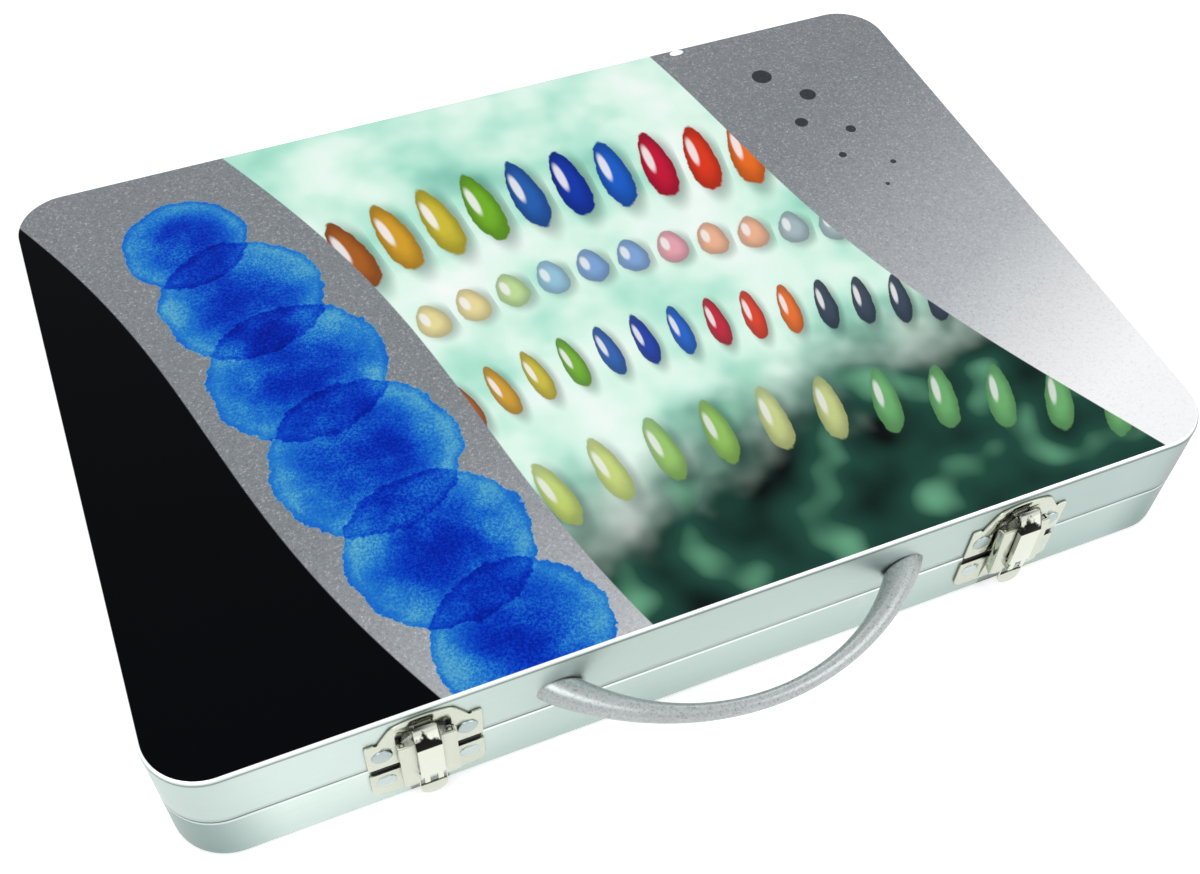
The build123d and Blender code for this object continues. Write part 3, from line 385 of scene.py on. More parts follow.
def base_profile(made):
    shoulder, support = SEAM - SHOULDER_ROUND, 2.0
    inner, curl_top, curl = NECK_INSET + TIN, NECK_INSET + CURL_WIDTH / 2, NECK_INSET + CURL_WIDTH
    curl_side, curl_foot = NECK_TOP - CURL_HEIGHT / 2, NECK_TOP - CURL_HEIGHT
    profile = [(BOTTOM_ROUND + 1.5, 0), (BOTTOM_ROUND, 0)]
    profile += rounded(BOTTOM_ROUND, 0, 0, BOTTOM_ROUND, 7, upright_first=False)
    profile += [(0, BOTTOM_ROUND + support), (0, shoulder - support), (0, shoulder)]
    profile += rounded(0, shoulder, SHOULDER_ROUND, SEAM, 4, upright_first=True)
    profile += [(NECK_INSET, SEAM), (NECK_INSET, curl_side)]
    profile += rounded(NECK_INSET, curl_side, curl_top, NECK_TOP, 5, upright_first=True)
    profile += rounded(curl_top, NECK_TOP, curl, curl_side, 5, upright_first=False)
    profile += [(curl, curl_foot), (inner, curl_foot), (inner, SEAM - TIN)]
    profile += [(TIN, SEAM - 2 * TIN), (TIN, BOTTOM_ROUND)]
    profile += rounded(TIN, BOTTOM_ROUND, BOTTOM_ROUND, TIN, 5, upright_first=True)
    loft(made, [case_ring(*point) for point in profile])


def handle_rings(made):
    """The bow: ellipses along an arc in plan, cut off at the case's front face."""
    radius = ((HANDLE_SPAN / 2) ** 2 + HANDLE_REACH**2) / (2 * HANDLE_REACH)
    half = math.asin(HANDLE_SPAN / 2 / radius)
    centre_y = FRONT - HANDLE_REACH + radius
    past_wall, swell_power, last_ring, around = 1.12, 2.4, 72, 32
    rings = []
    for index in range(last_ring + 1):
        angle = (2 * index / last_ring - 1) * half * past_wall
        swell = min(abs(angle) / half, 1.0) ** swell_power
        out = Vector((math.sin(angle), -math.cos(angle), 0))
        middle = Vector((radius * out.x, centre_y + radius * out.y, HANDLE_Z))
        wide, high = ((grip + (foot - grip) * swell) / 2 for grip, foot in zip(GRIP, FOOT))
        rings.append([
            middle + out * wide * cosine + Vector((0, 0, high * sine)) for cosine, sine in circle(around)
        ])
    loft(made, rings)
    cut = bmesh.ops.bisect_plane(
        made, geom=made.verts[:] + made.edges[:] + made.faces[:], plane_co=(0, FRONT * MM, 0),
        plane_no=(0, 1, 0), clear_outer=True,
    )
    rim = [item for item in cut["geom_cut"] if isinstance(item, bmesh.types.BMEdge)]
    bmesh.ops.holes_fill(made, edges=rim)


def dressed(node, material, bevel, segments=2):
    """A copy of a CAD node's mesh with its creases rounded by `bevel` mm, shown in its place."""
    source = nodes[node]

    def fill(made):
        made.from_mesh(source.data)
        bmesh.ops.remove_doubles(made, verts=made.verts, dist=1e-6)
        if not bevel:
            return
        bmesh.ops.dissolve_limit(
            made, angle_limit=math.radians(0.5), verts=made.verts, edges=made.edges,
            use_dissolve_boundaries=False,
        )
        creases = [
            edge for edge in made.edges
            if len(edge.link_faces) == 2 and edge.calc_face_angle(0) > math.radians(CREASE_ANGLE)
        ]
        bmesh.ops.bevel(
            made, geom=creases, offset=bevel * MM, offset_type="OFFSET", segments=segments, profile=0.5,
            affect="EDGES", clamp_overlap=True, miter_outer="ARC",
        )

    new_object(f"{node}_look", fill, material, source["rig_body"], (node,), SMOOTH_ANGLE)


# Materials of the case
def beyond_outline(graph):
    """Distance in mm beyond the case's rounded outline, negative inside it."""
    across = (graph.x.abs() - (WIDTH / 2 - CORNER)).most(0.0)
    along = (graph.y.abs() - (DEPTH / 2 - CORNER)).most(0.0)
    return graph.reach(across, along) - CORNER


def bare_tin(graph, tint):
    """Satin tinplate: its colour with faint rolling marks, patches and a few scuffs, and its relief."""
    rolled = graph.noise(0.8, 3, 0.6, stretch=(0.05, 0.05, 1.0))
    patches = graph.noise(38, 2, 0.5)
    speckle = graph.noise(0.35, 2, 0.7)
    scuffs = graph.step(graph.noise(2.2, 3, 0.7, stretch=(0.25, 0.25, 1.4)), 0.66, 0.74)
    value = 0.86 + 0.13 * patches + 0.08 * rolled + 0.05 * speckle - 0.05 * scuffs
    return graph.dim(value, tint), rolled, speckle


def corner_shade_mask(graph):
    """1 at the case's upright corners, 0 along its walls: where painted shade darkens the corners."""
    reach, full = 34.0, 6.0
    across = graph.step(graph.x.abs(), WIDTH / 2 - reach, WIDTH / 2 - full)
    return across * graph.step(graph.y.abs(), DEPTH / 2 - reach, DEPTH / 2 - full)


def painted_end_shade(graph, middle, right):
    """Painted shade along the front: brightness 1 at its left end, `middle`, and `right` of that at its right
    end.
    """
    return graph.step(graph.x, -128.0, -50.0, 1.0, middle) * graph.step(graph.x, 50.0, 130.0, 1.0, right)


def front_wall(graph):
    """1 on the front wall, 0 behind it."""
    return graph.fall(graph.y, FRONT + 1.0, FRONT + 1.4)


def from_latch(graph):
    """Distance in mm to the left or right of the nearer latch."""
    return (graph.x.abs() - LATCH_X).abs()


def off_middle(graph):
    """Distance in mm to the left or right of the middle of the seam."""
    return (graph.x - SEAM_MIDDLE).abs()


def latch_shadow(graph):
    """1 in the dark slot between a keeper and its latch plate, on the front wall."""
    beside = graph.fall(from_latch(graph), PLATE_WIDTH / 2 - 0.9, PLATE_WIDTH / 2 - 0.1)
    slot = graph.band(graph.z, PLATE_TOP - 0.9, PLATE_TOP - 0.2, KEEPER_FOOT + 0.1, KEEPER_FOOT + 0.9)
    return beside * slot * front_wall(graph)


def foot_shadow(graph):
    """1 close round the handle's feet on the front wall, 0 away from them."""
    across = (graph.x.abs() - (HANDLE_SPAN / 2 - 0.6)) / (FOOT[0] / 2 + 0.6)
    along = (graph.z - HANDLE_Z) / (FOOT[1] / 2)
    return graph.fall(graph.reach(across, along), 0.98, 1.16) * front_wall(graph)


def crevice_shade(graph):
    """Painted shade: above 0 where another surface stands close by."""
    return 0.75 - 0.9 * graph.open_space(1.6)


def base_material():
    """Bare metal with painted shade that darkens it toward its foot, and a painted highlight line along the
    shoulder under the seam.
    """
    graph = Graph("bare_tin_base")
    colour, rolled, speckle = bare_tin(graph, srgb(216, 231, 225))
    # Painted shade: darker toward the foot, at the upright corners, and from the front's left end toward its
    # middle and right end
    low = graph.step(graph.z, 0.0, SEAM, 0.84, 1.0) * (1.0 - 0.7 * corner_shade_mask(graph))
    low = low * painted_end_shade(graph, 0.78, 0.86)
    # Painted highlight along the shoulder under the seam, weaker away from the middle
    lit = graph.band(graph.z, SEAM - 1.3, SEAM - 0.8, SEAM - 0.4, SEAM - 0.1)
    lit = lit * graph.step(off_middle(graph), 60.0, 130.0, 0.9, 0.45)
    # Painted shade of the seam's gap, on the neck above the shoulder
    seam_gap_shade = graph.step(graph.z, SEAM - 0.25, SEAM, 0.0, 0.75) * graph.fall(graph.z, SEAM + 0.8, SEAM + 1.2)
    # Painted shade on the wall behind each lever's tip, deeper where the lever stands close
    behind_tip_shade = graph.fall(from_latch(graph), 5.5, 6.5) * graph.fall(graph.z, 7.2, 7.6) * front_wall(graph)
    behind_tip_shade = behind_tip_shade * graph.fall(graph.open_space(9.0), 0.45, 0.95)
    dark = latch_shadow(graph).most(seam_gap_shade).most(behind_tip_shade)
    colour = graph.mix(low, SHADE_TONE, colour)
    colour = graph.mix(lit, colour, srgb(252, 255, 254))
    # Painted shade in the latch slots, the seam's gap, behind the lever tips and in crevices; the first three
    # also dull the metal
    colour = graph.mix(dark.most(crevice_shade(graph)), colour, srgb(16, 17, 16))
    graph.bump(rolled * 0.6 + speckle * 0.4, 0.012, 0.4)
    metallic = TIN_METALLIC - TIN_METALLIC * dark
    return graph.finish(Base_Color=colour, Metallic=metallic, Roughness=TIN_ROUGHNESS + 0.3 * dark)


def from_centre(graph, middle, radius):
    """How far a point of the lid is from a disc's centre, 1 at its rim."""
    return graph.reach((graph.x - middle[0]) / radius, (graph.y - middle[1]) / radius)


def wash(graph):
    """Round washes of blue that overlap: how much pigment lies at a point, and how wet edges dried."""
    ragged = 0.22 * graph.noise(9, 3, 0.6) + 0.07 * graph.noise(1.6, 2, 0.7) - 0.14
    pigment = edges = None
    for middle, radius in WASHES:
        reach = from_centre(graph, middle, radius) + ragged
        inside = graph.fall(reach, 0.97, 1.0)
        rim = inside * graph.step(reach, 0.86, 0.98)
        layer = inside * graph.step(reach, 0.2, 1.0, 1.0, 0.32)
        pigment = layer if pigment is None else pigment + layer
        edges = rim if edges is None else edges.most(rim)
    return pigment, edges


def dabs(graph, row, start):
    """A row of drops on an arc: mask, number along the row, wet light, nearness to the rim, shadow."""
    radius, pitch, half_length, half_width = row
    across = graph.x - FAN_CENTRE[0]
    along = graph.y - FAN_CENTRE[1]
    out = graph.reach(across, along) - radius
    run = across.angle(along) * radius / pitch + start
    side = (run.fraction() - 0.5) * pitch
    uneven = 0.25 * graph.noise(5, 2, 0.6) - 0.12
    taper = half_width * (1.0 - 0.28 * (out / half_length))
    shape = graph.reach(side / taper, out / half_length) + uneven
    lit = graph.reach(
        (side + half_width * 0.35) / (half_width * 0.3), (out - half_length * 0.2) / (half_length * 0.45)
    )
    fallen = graph.reach(
        (side - half_width * 0.3) / (half_width * 1.35), (out + half_length * 0.2) / (half_length * 1.2)
    )
    mask, rim = graph.fall(shape, 0.92, 1.0), graph.step(shape, 0.3, 1.0)
    light, shadow = graph.fall(lit, 0.6, 1.1), graph.fall(fallen, 0.55, 1.1)
    return mask, run.floor(), light, rim, shadow


def speckled_silver(graph):
    """Printed silver with a painted reflection that lightens it toward the front right, and small ink drops
    for the right field.
    """
    grain = graph.noise(0.9, 3, 0.85)
    # Painted reflection across the printed silver, lighter toward the front right
    painted_reflection = graph.step(graph.x * 0.45 - graph.y * 0.9, -20.0, 190.0)
    silver = graph.ramp(painted_reflection, [
        (0.0, srgb(132, 137, 142)), (0.5, srgb(182, 186, 190)), (0.9, srgb(250, 251, 252)),
    ])
    dark_grain = graph.step(grain, 0.5, 0.3, 0.0, 0.5) * (1.0 - 0.7 * painted_reflection)
    silver = graph.mix(dark_grain, silver, srgb(84, 88, 94))
    silver = graph.mix(graph.step(grain, 0.55, 0.72, 0.0, 0.55), silver, srgb(238, 240, 242))
    ink = None
    for middle, radius in INK_DROPS:
        drop = graph.fall(from_centre(graph, middle, radius), 0.9, 1.0)
        ink = drop if ink is None else ink.most(drop)
    return silver, graph.mix(ink * 0.85, silver, srgb(24, 26, 32))


def blue_washes(graph, ground):
    """The chain of washes painted on the ground."""
    pigment, edges = wash(graph)
    granules = graph.step(graph.noise(1.0, 3, 0.85), 0.38, 0.62)
    pooled = graph.step(graph.noise(17, 3, 0.6), 0.3, 0.7)
    density = pigment * (0.28 + 0.38 * granules + 0.5 * pooled) + 0.16 * edges
    blue = graph.ramp(density * 0.62, [
        (0.0, srgb(150, 200, 210)), (0.1, srgb(84, 168, 204)), (0.2, srgb(34, 122, 204)),
        (0.36, srgb(10, 74, 196)), (0.55, srgb(4, 40, 176)), (0.9, srgb(2, 16, 104)),
    ])
    return graph.mix(graph.step(pigment, 0.02, 0.3), ground, blue)


def pale_panel(graph, down):
    """Pale clouds that run to deep green toward the front, under rows of dabs of paint."""
    cloud = graph.noise(46, 3, 0.55)
    soft = graph.noise(24, 1, 0.4)
    pale = graph.ramp(cloud, [
        (0.25, srgb(252, 255, 254)), (0.45, srgb(222, 250, 236)), (0.6, srgb(176, 232, 212)),
        (0.8, srgb(110, 186, 166)),
    ])
    deep = graph.ramp(soft, [(0.3, srgb(10, 18, 18)), (0.55, srgb(34, 74, 62)), (0.8, srgb(120, 190, 150))])
    panel = graph.mix(graph.step(down + 0.35 * cloud + 0.001 * graph.x, 0.86, 1.06), pale, deep)
    for row, start, stops, strength in DAB_ROWS:
        mask, number, light, rim, shadow = dabs(graph, row, start)
        tone = graph.ramp((number + 10.5) / 20.0, stops, stepped=True)
        tone = graph.mix(rim * 0.45, tone, srgb(10, 12, 20))
        tone = graph.mix(light * 0.75, tone, srgb(255, 255, 255))
        panel = graph.mix(shadow * 0.5 * strength, panel, srgb(30, 52, 48))
        panel = graph.mix(mask * strength, panel, tone)
    return panel


def lid_colours(graph):
    """The printed design: black, blue washes on silver, a pale panel and silver, parted by waves."""
    down = (DEPTH / 2 - graph.y) / DEPTH
    silver, inked_silver = speckled_silver(graph)
    band = blue_washes(graph, silver)
    panel = pale_panel(graph, down)
    colour = srgb(5, 6, 9)
    for field, start, lean, swing, turns, phase in (
        (band, -179.0, 92.0, 7.0, 5.2, 0.4), (panel, -98.0, 78.0, 8.0, 4.6, 0.2),
        (inked_silver, 68.0, 80.0, 9.0, 4.4, 2.2),
    ):
        wave = start + lean * down + swing * (down * turns + phase).sin()
        colour = graph.mix(graph.step(graph.x - wave, -0.3, 0.3), colour, field)
    return colour


def lid_material():
    """Bare metal skirt with painted shade and a painted highlight round the top, and a printed face that
    stops just inside it.
    """
    graph = Graph("printed_lid")
    z = graph.z
    edge = beyond_outline(graph)
    tin, rolled, speckle = bare_tin(graph, srgb(208, 222, 217))
    # Painted shade along the front, lightest at its left end, and at the upright corners
    tone = painted_end_shade(graph, 0.81, 0.84) * (1.0 - 0.22 * corner_shade_mask(graph))
    # Painted highlight along the top edge
    top_edge_highlight = graph.step(z, HEIGHT - 0.8, HEIGHT - 0.45)
    # Painted shade line along the rim at the right end
    right_rim_shade = graph.step(edge, -0.6, -0.35) * graph.step(graph.x, WIDTH / 2 - 20.0, WIDTH / 2 - 4.0)
    # Painted dark reflection in a band just under the top edge
    dark_reflection_under_edge = graph.band(z, HEIGHT - 2.2, HEIGHT - 1.6, HEIGHT - 1.2, HEIGHT - 0.8)
    # Painted shade in the gap at the seam, which closes toward the middle of the front
    seam = graph.fall(z, SEAM + 0.5, SEAM + 1.1) * graph.step(off_middle(graph), 26.0, 60.0, 0.25, 1.0)
    # Painted shade in the latch slots, round the handle's feet and in the seam's gap; the colour adds crevice
    # shade
    dark = latch_shadow(graph).most(foot_shadow(graph) * 0.8).most(seam * 0.85)
    tin = graph.mix(tone, SHADE_TONE, tin)
    tin = graph.mix(top_edge_highlight, tin, srgb(254, 255, 255))
    tin = graph.mix(right_rim_shade * 0.8, tin, srgb(92, 90, 90))
    tin = graph.mix(dark_reflection_under_edge * 0.6, tin, srgb(58, 64, 64))
    tin = graph.mix(dark.most(crevice_shade(graph)), tin, srgb(12, 13, 13))
    worn = graph.reach((graph.x - WORN_SPOT[0]) / WORN_SIZE[0], (graph.y - WORN_SPOT[1]) / WORN_SIZE[1])
    worn = worn + 0.5 * graph.noise(1.5, 2, 0.6)
    printed = graph.fall(edge, -1.0, -0.8) * graph.step(z, HEIGHT - 0.4, HEIGHT - 0.2)
    printed = printed * graph.step(worn, 0.95, 1.25)
    colour = graph.mix(printed, tin, lid_colours(graph))
    graph.bump(rolled * 0.5 + speckle * 0.5, 0.01, 0.3)
    metallic = TIN_METALLIC - TIN_METALLIC * printed.most(dark)
    roughness = TIN_ROUGHNESS + 0.1 * printed
    return graph.finish(
        Base_Color=colour, Metallic=metallic, Roughness=roughness, Specular_IOR_Level=0.02
    )


def plain(name, colour, *, roughness, grain, spread, depth, metallic=0.0, crevice=0.0, **more):
    """A material whose colour and bump vary with fine grain, with painted shade within `crevice` mm of other
    surfaces.
    """
    graph = Graph(name)
    fine = graph.noise(grain, 3, 0.65)
    broad = graph.noise(grain * 30, 2, 0.5)
    value = 1.0 - spread + spread * fine + spread * 0.6 * broad
    # Painted shade near other surfaces
    if crevice:
        value = value * graph.step(graph.open_space(crevice), 0.15, 0.85, 0.04, 1.0)
    graph.bump(fine, depth, 0.5)
    return graph.finish(Base_Color=graph.dim(value, colour), Metallic=metallic, Roughness=roughness, **more)


def handle_material():
    """Coarse grey paint over metal, with painted shade under the bow and where it meets the wall."""
    graph = Graph("handle_grey")
    fine = graph.noise(0.8, 3, 0.7)
    broad = graph.noise(20, 2, 0.5)
    value = 0.42 + 0.6 * fine + 0.2 * broad
    value = value - 0.25 * graph.fall(fine, 0.3, 0.46)
    # Painted shade under the bow, then in crevices where the feet meet the wall
    value = value * graph.step(graph.z, HANDLE_Z - 2.4, HANDLE_Z - 0.2, 0.62, 1.0)
    value = value * graph.step(graph.open_space(1.2), 0.4, 0.9, 0.08, 1.0)
    graph.bump(fine, 0.07, 0.5)
    return graph.finish(Base_Color=graph.dim(value, srgb(192, 199, 198)), Metallic=0.6, Roughness=0.3)


def loop_material():
    """Polished nickel; painted dark reflections on its hood, a peak over the crease and lines round its
    edges, and painted shade in its crevices.
    """
    graph = Graph("loop_nickel")
    fine = graph.noise(0.8, 3, 0.65)
    aside = (graph.x - LATCH_X * graph.x.sign()) / LOOP_HALF_WIDTH
    rise = (graph.z - HOOD_FOOT) / (HOOD_TOP - HOOD_FOOT)
    # Painted dark reflections: a peak over the crease, lines along the top and the right edge, and the left
    # side
    peak = rise + 0.38 * (aside + 0.25).abs() + 0.9 * graph.noise(2.2, 3, 0.6)
    over_crease = graph.step(rise, 0.0, 0.05) * graph.fall(peak, 1.05, 1.3)
    top_line = graph.step(rise, 0.84, 0.94) * graph.step(aside, -0.7, 0.7, 0.9, 0.4)
    right_line = graph.step(rise, 0.05, 0.15) * graph.step(aside, 0.84, 0.94, 0.0, 0.8)
    left_side = graph.step(aside, -1.02, -0.94, 0.6, 0.0) * graph.step(rise, -1.6, -1.2)
    dark = over_crease.most(top_line).most(right_line).most(left_side)
    # Painted shade where other surfaces stand within 3 mm
    value = (0.9 + 0.1 * fine) * graph.step(graph.open_space(3.0), 0.15, 0.85, 0.04, 1.0)
    colour = graph.mix(dark * 0.99, graph.dim(value, srgb(220, 224, 210)), srgb(8, 7, 8))
    graph.bump(fine, 0.004, 0.5)
    return graph.finish(Base_Color=colour, Metallic=1.0, Roughness=0.08)


# The latch nickels differ in how far their painted crevice shade reaches; the plate's is also a little
# rougher
nickel = plain("nickel", NICKEL, metallic=1.0, roughness=0.2, grain=0.7, spread=0.14, depth=0.01, crevice=1.9)
lever_nickel = plain(
    "lever_nickel", NICKEL, metallic=1.0, roughness=0.2, grain=0.7, spread=0.14, depth=0.01, crevice=4.5
)
plate_nickel = plain(
    "plate_nickel", NICKEL, metallic=1.0, roughness=0.22, grain=0.7, spread=0.14, depth=0.01, crevice=5.0
)
loop_nickel = loop_material()
hinge_tin = plain(
    "hinge_tin", srgb(208, 217, 213), metallic=0.85, roughness=0.34, grain=0.7, spread=0.16, depth=0.012,
    crevice=1.2,
)
rivet_flat = plain(
    "rivet_flat", srgb(176, 189, 189), metallic=1.0, roughness=0.3, grain=0.5, spread=0.2, depth=0.01,
    crevice=1.1,
)
rivet_dome = plain(
    "rivet_dome", srgb(192, 203, 200), metallic=1.0, roughness=0.16, grain=0.5, spread=0.12, depth=0.006,
    crevice=1.1,
)

new_object("lid_shell_look", lid_profile, lid_material(), "lid", ("lid_shell",), smooth_angle=50)
new_object("base_pan_look", base_profile, base_material(), "base", ("base_pan",), smooth_angle=50)
new_object("handle_look", handle_rings, handle_material(), "lid", ("handle",), smooth_angle=60)

for side in ("left", "right"):
    for node, material in (
        ("keeper", nickel), ("loop_pin", nickel), ("latch_lever", lever_nickel),
        ("latch_plate", plate_nickel),
    ):
        dressed(f"{side}_{node}", material, 0.15)
    dressed(f"{side}_latch_loop", loop_nickel, 0.2, 3)
    for node in ("hinge_base_leaf", "hinge_lid_leaf", "hinge_pin"):
        dressed(f"{side}_{node}", hinge_tin, 0.15)
for node in ("keeper_rivets", "handle_screws"):
    dressed(node, rivet_flat, 0.1)
for node in ("latch_plate_rivets", "hinge_base_rivets", "hinge_lid_rivets", "latch_lever_pins"):
    dressed(node, rivet_dome, 0.1)


# Contents of the case
def box(node):
    """Low and high corner of a CAD node, in mm."""
    points = [nodes[node].matrix_world @ vertex.co / MM for vertex in nodes[node].data.vertices]
    low = Vector([min(point[axis] for point in points) for axis in range(3)])
    high = Vector([max(point[axis] for point in points) for axis in range(3)])
    return low, high


def along_y(made, centre_x, centre_z, sections, around=40, ribbed=False):
    """Skins oval sections (y, half width, half height) along y; ribs groove them like a cap's grip."""
    groove = 0.94
    loft(made, [
        [
            (
                centre_x + half_width * (groove if ribbed and step % 2 else 1.0) * cosine,
                y,
                centre_z + half_height * (groove if ribbed and step % 2 else 1.0) * sine,
            )
            for step, (cosine, sine) in enumerate(circle(around))
        ]
        for y, half_width, half_height in sections
    ])


def along_x(made, centre_y, centre_z, sections):
    """Turned shape along x from (x, radius) sections."""
    around = 28
    loft(made, [
        [(x, centre_y + radius * cosine, centre_z + radius * sine) for cosine, sine in circle(around)]
        for x, radius in sections
    ])


def tube_maker(node):
    """A soft tube: a folded crimp at the back, a belly that rounds out, a shoulder and a neck."""
    low, high = box(node)
    centre_x, centre_z = (low.x + high.x) / 2, (low.z + high.z) / 2
    flat, round_radius = (high.x - low.x) / 2, (high.z - low.z) / 2
    thin, fold = 0.75, 0.65
    cap_back = box("tube_caps")[1].y
    belly_back, belly_front = high.y - CRIMP_LENGTH, cap_back + 3.0
    belly_steps, shoulder_steps = 14, 5

    def fill(made):
        sections = [(high.y - 0.1, flat - 0.3, thin * 0.7), (high.y - 0.3, flat, thin)]
        for share, thickness in ((0.45, 1.0), (0.5, fold), (0.6, fold), (0.65, 1.0), (1.0, 1.0)):
            sections.append((high.y - CRIMP_LENGTH * share, flat, thin * thickness))
        for step in range(1, belly_steps + 1):
            share = step / belly_steps
            full = math.sin(math.pi / 2 * share) ** 0.9
            sections.append((
                belly_back + (belly_front - belly_back) * share,
                flat + (round_radius - flat) * share,
                thin + (round_radius - thin) * full,
            ))
        for step in range(1, shoulder_steps + 1):
            turn = math.pi / 2 * step / shoulder_steps
            radius = TUBE_NECK_RADIUS + (round_radius - TUBE_NECK_RADIUS) * math.cos(turn)
            sections.append((belly_front + (cap_back - belly_front) * math.sin(turn), radius, radius))
        sections.append((cap_back - 4.0, TUBE_NECK_RADIUS, TUBE_NECK_RADIUS))
        along_y(made, centre_x, centre_z, sections)

    return fill


def tube_material(name, pigment):
    """Soft metal with a white label and a band of the tube's own colour near its cap."""
    graph = Graph(name)
    top = box("paint_tube_01")[1].y
    dents = graph.noise(5, 2, 0.6)
    fine = graph.noise(0.4, 2, 0.6)
    metal = graph.dim(0.86 + 0.14 * fine, srgb(206, 208, 210))
    label = graph.band(graph.y, top - 62.0, top - 61.6, top - 12.0, top - 11.6)
    band = graph.band(graph.y, top - 62.0, top - 61.6, top - 40.0, top - 39.6)
    colour = graph.mix(label, metal, srgb(240, 241, 240))
    colour = graph.mix(band * (0.9 + 0.1 * fine), colour, pigment)
    graph.bump(dents * 0.8 + fine * 0.2, 0.35, 0.5)
    return graph.finish(Base_Color=colour, Metallic=0.9 - 0.9 * label, Roughness=0.32)


def caps(made):
    """The tubes' screw caps, ribbed for grip."""
    low, high = box("tube_caps")
    radius = (high.z - low.z) / 2
    profile = [(high.y, 0.9), (high.y - 0.5, 1.0), (low.y + 1.2, 0.97), (low.y + 0.3, 0.9), (low.y, 0.78)]
    sections = [(y, radius * share, radius * share) for y, share in profile]
    for number in range(1, len(TUBE_COLOURS) + 1):
        tube_low, tube_high = box(f"paint_tube_{number:02d}")
        centre_x, centre_z = (tube_low.x + tube_high.x) / 2, (low.z + high.z) / 2
        along_y(made, centre_x, centre_z, sections, 2 * CAP_RIBS, ribbed=True)


for number, pigment in enumerate(TUBE_COLOURS, 1):
    node = f"paint_tube_{number:02d}"
    material = tube_material(f"tube_colour_{number:02d}", pigment)
    new_object(f"{node}_look", tube_maker(node), material, "base", (node,), smooth_angle=50)

white_cap = plain("white_cap", srgb(238, 238, 236), roughness=0.3, grain=0.6, spread=0.06, depth=0.01)
new_object("tube_caps_look", caps, white_cap, "base", ("tube_caps",), smooth_angle=25)


def turned_pieces(node, sections, material):
    """The three brushes' pieces of one kind, turned from (share of length, share of radius) sections."""
    low, high = box(node)
    radius = (high.z - low.z) / 2
    spread = (high.y - low.y) / 2 - radius

    def fill(made):
        for place in (-1, 0, 1):
            along_x(made, (low.y + high.y) / 2 + place * spread, (low.z + high.z) / 2, [
                (low.x + (high.x - low.x) * share, radius * size) for share, size in sections
            ])

    new_object(f"{node}_look", fill, material, "base", (node,), smooth_angle=50)


def hair_material():
    graph = Graph("brush_hair")
    low, high = box("brush_tufts")
    fibres = graph.noise(0.25, 2, 0.6, stretch=(0.04, 1.0, 1.0))
    hair = graph.mix(fibres, srgb(70, 38, 18), srgb(168, 104, 58))
    graph.bump(fibres, 0.15, 0.8)
    colour = graph.mix(graph.step(graph.x, low.x, high.x), hair, srgb(52, 28, 16))
    return graph.finish(Base_Color=colour, Roughness=0.55)


lacquer = plain(
    "brush_lacquer", srgb(20, 34, 74), roughness=0.18, grain=1.2, spread=0.2, depth=0.01, Coat_Weight=0.6
)
ferrule = plain(
    "ferrule_nickel", srgb(226, 222, 214), metallic=1.0, roughness=0.18, grain=0.6, spread=0.1, depth=0.004
)
turned_pieces("brush_handles", [
    (0.0, 0.12), (0.004, 0.3), (0.02, 0.38), (0.2, 0.55), (0.45, 0.78), (0.68, 0.98), (0.8, 1.0), (0.9, 0.98),
    (0.96, 0.88), (1.0, 0.77),
], lacquer)
turned_pieces("brush_ferrules", [
    (0.0, 0.98), (0.06, 0.98), (0.08, 0.92), (0.1, 0.92), (0.12, 1.0), (0.16, 1.0), (0.18, 0.92), (0.2, 0.92),
    (0.22, 0.99), (0.45, 0.98), (0.8, 0.87), (1.0, 0.8),
], ferrule)
turned_pieces("brush_tufts", [
    (0.0, 0.78), (0.12, 0.88), (0.3, 0.98), (0.42, 1.0), (0.6, 0.84), (0.78, 0.52), (0.92, 0.22), (1.0, 0.08),
], hair_material())


def pencil_paint():
    """Green lacquer with a bare ring at the blunt end."""
    graph = Graph("pencil_lacquer")
    left = box("pencil_barrels")[0].x
    fine = graph.noise(0.5, 2, 0.6)
    green = graph.mix(fine * 0.3, srgb(22, 66, 58), srgb(12, 44, 40))
    graph.bump(fine, 0.01, 0.4)
    colour = graph.mix(graph.fall(graph.x, left + 6.0, left + 6.2), green, srgb(214, 216, 214))
    return graph.finish(Base_Color=colour, Roughness=0.24, Coat_Weight=0.5)


def pencil_wood():
    """A sharpened cone of wood with the lead at its tip."""
    graph = Graph("pencil_wood")
    low, high = box("pencil_points")
    length = high.x - low.x
    grain = graph.noise(0.6, 3, 0.6, stretch=(0.08, 1.0, 1.0))
    lead = graph.step(graph.x, high.x - length * 0.3, high.x - length * 0.27)
    wood = graph.mix(grain, srgb(168, 112, 70), srgb(222, 178, 132))
    graph.bump(grain, 0.06, 0.6)
    colour = graph.mix(lead, wood, srgb(48, 48, 52))
    return graph.finish(Base_Color=colour, Metallic=0.3 * lead, Roughness=0.5)


def cake_material():
    """A different pigment in each half pan, by its place in the block of 4 by 3."""
    graph = Graph("paint_cakes")
    low, high = box("paint_cakes")
    column = ((graph.x - (low.x - 1.0)) / ((high.x - low.x + 2.0) / 4)).floor()
    row = ((graph.y - (low.y - 1.0)) / ((high.y - low.y + 2.0) / 3)).floor()
    count = len(TUBE_COLOURS)
    stops = [(index / count, colour) for index, colour in enumerate(TUBE_COLOURS)]
    fine = graph.noise(0.7, 3, 0.7)
    pores = graph.noise(3.0, 2, 0.5)
    pigment = graph.ramp((column + 4.0 * row + 0.5) / count, stops, stepped=True)
    graph.bump(fine * 0.5 + pores * 0.5, 0.35, 0.7)
    return graph.finish(Base_Color=graph.dim(0.72 + 0.28 * fine, pigment), Roughness=0.62)


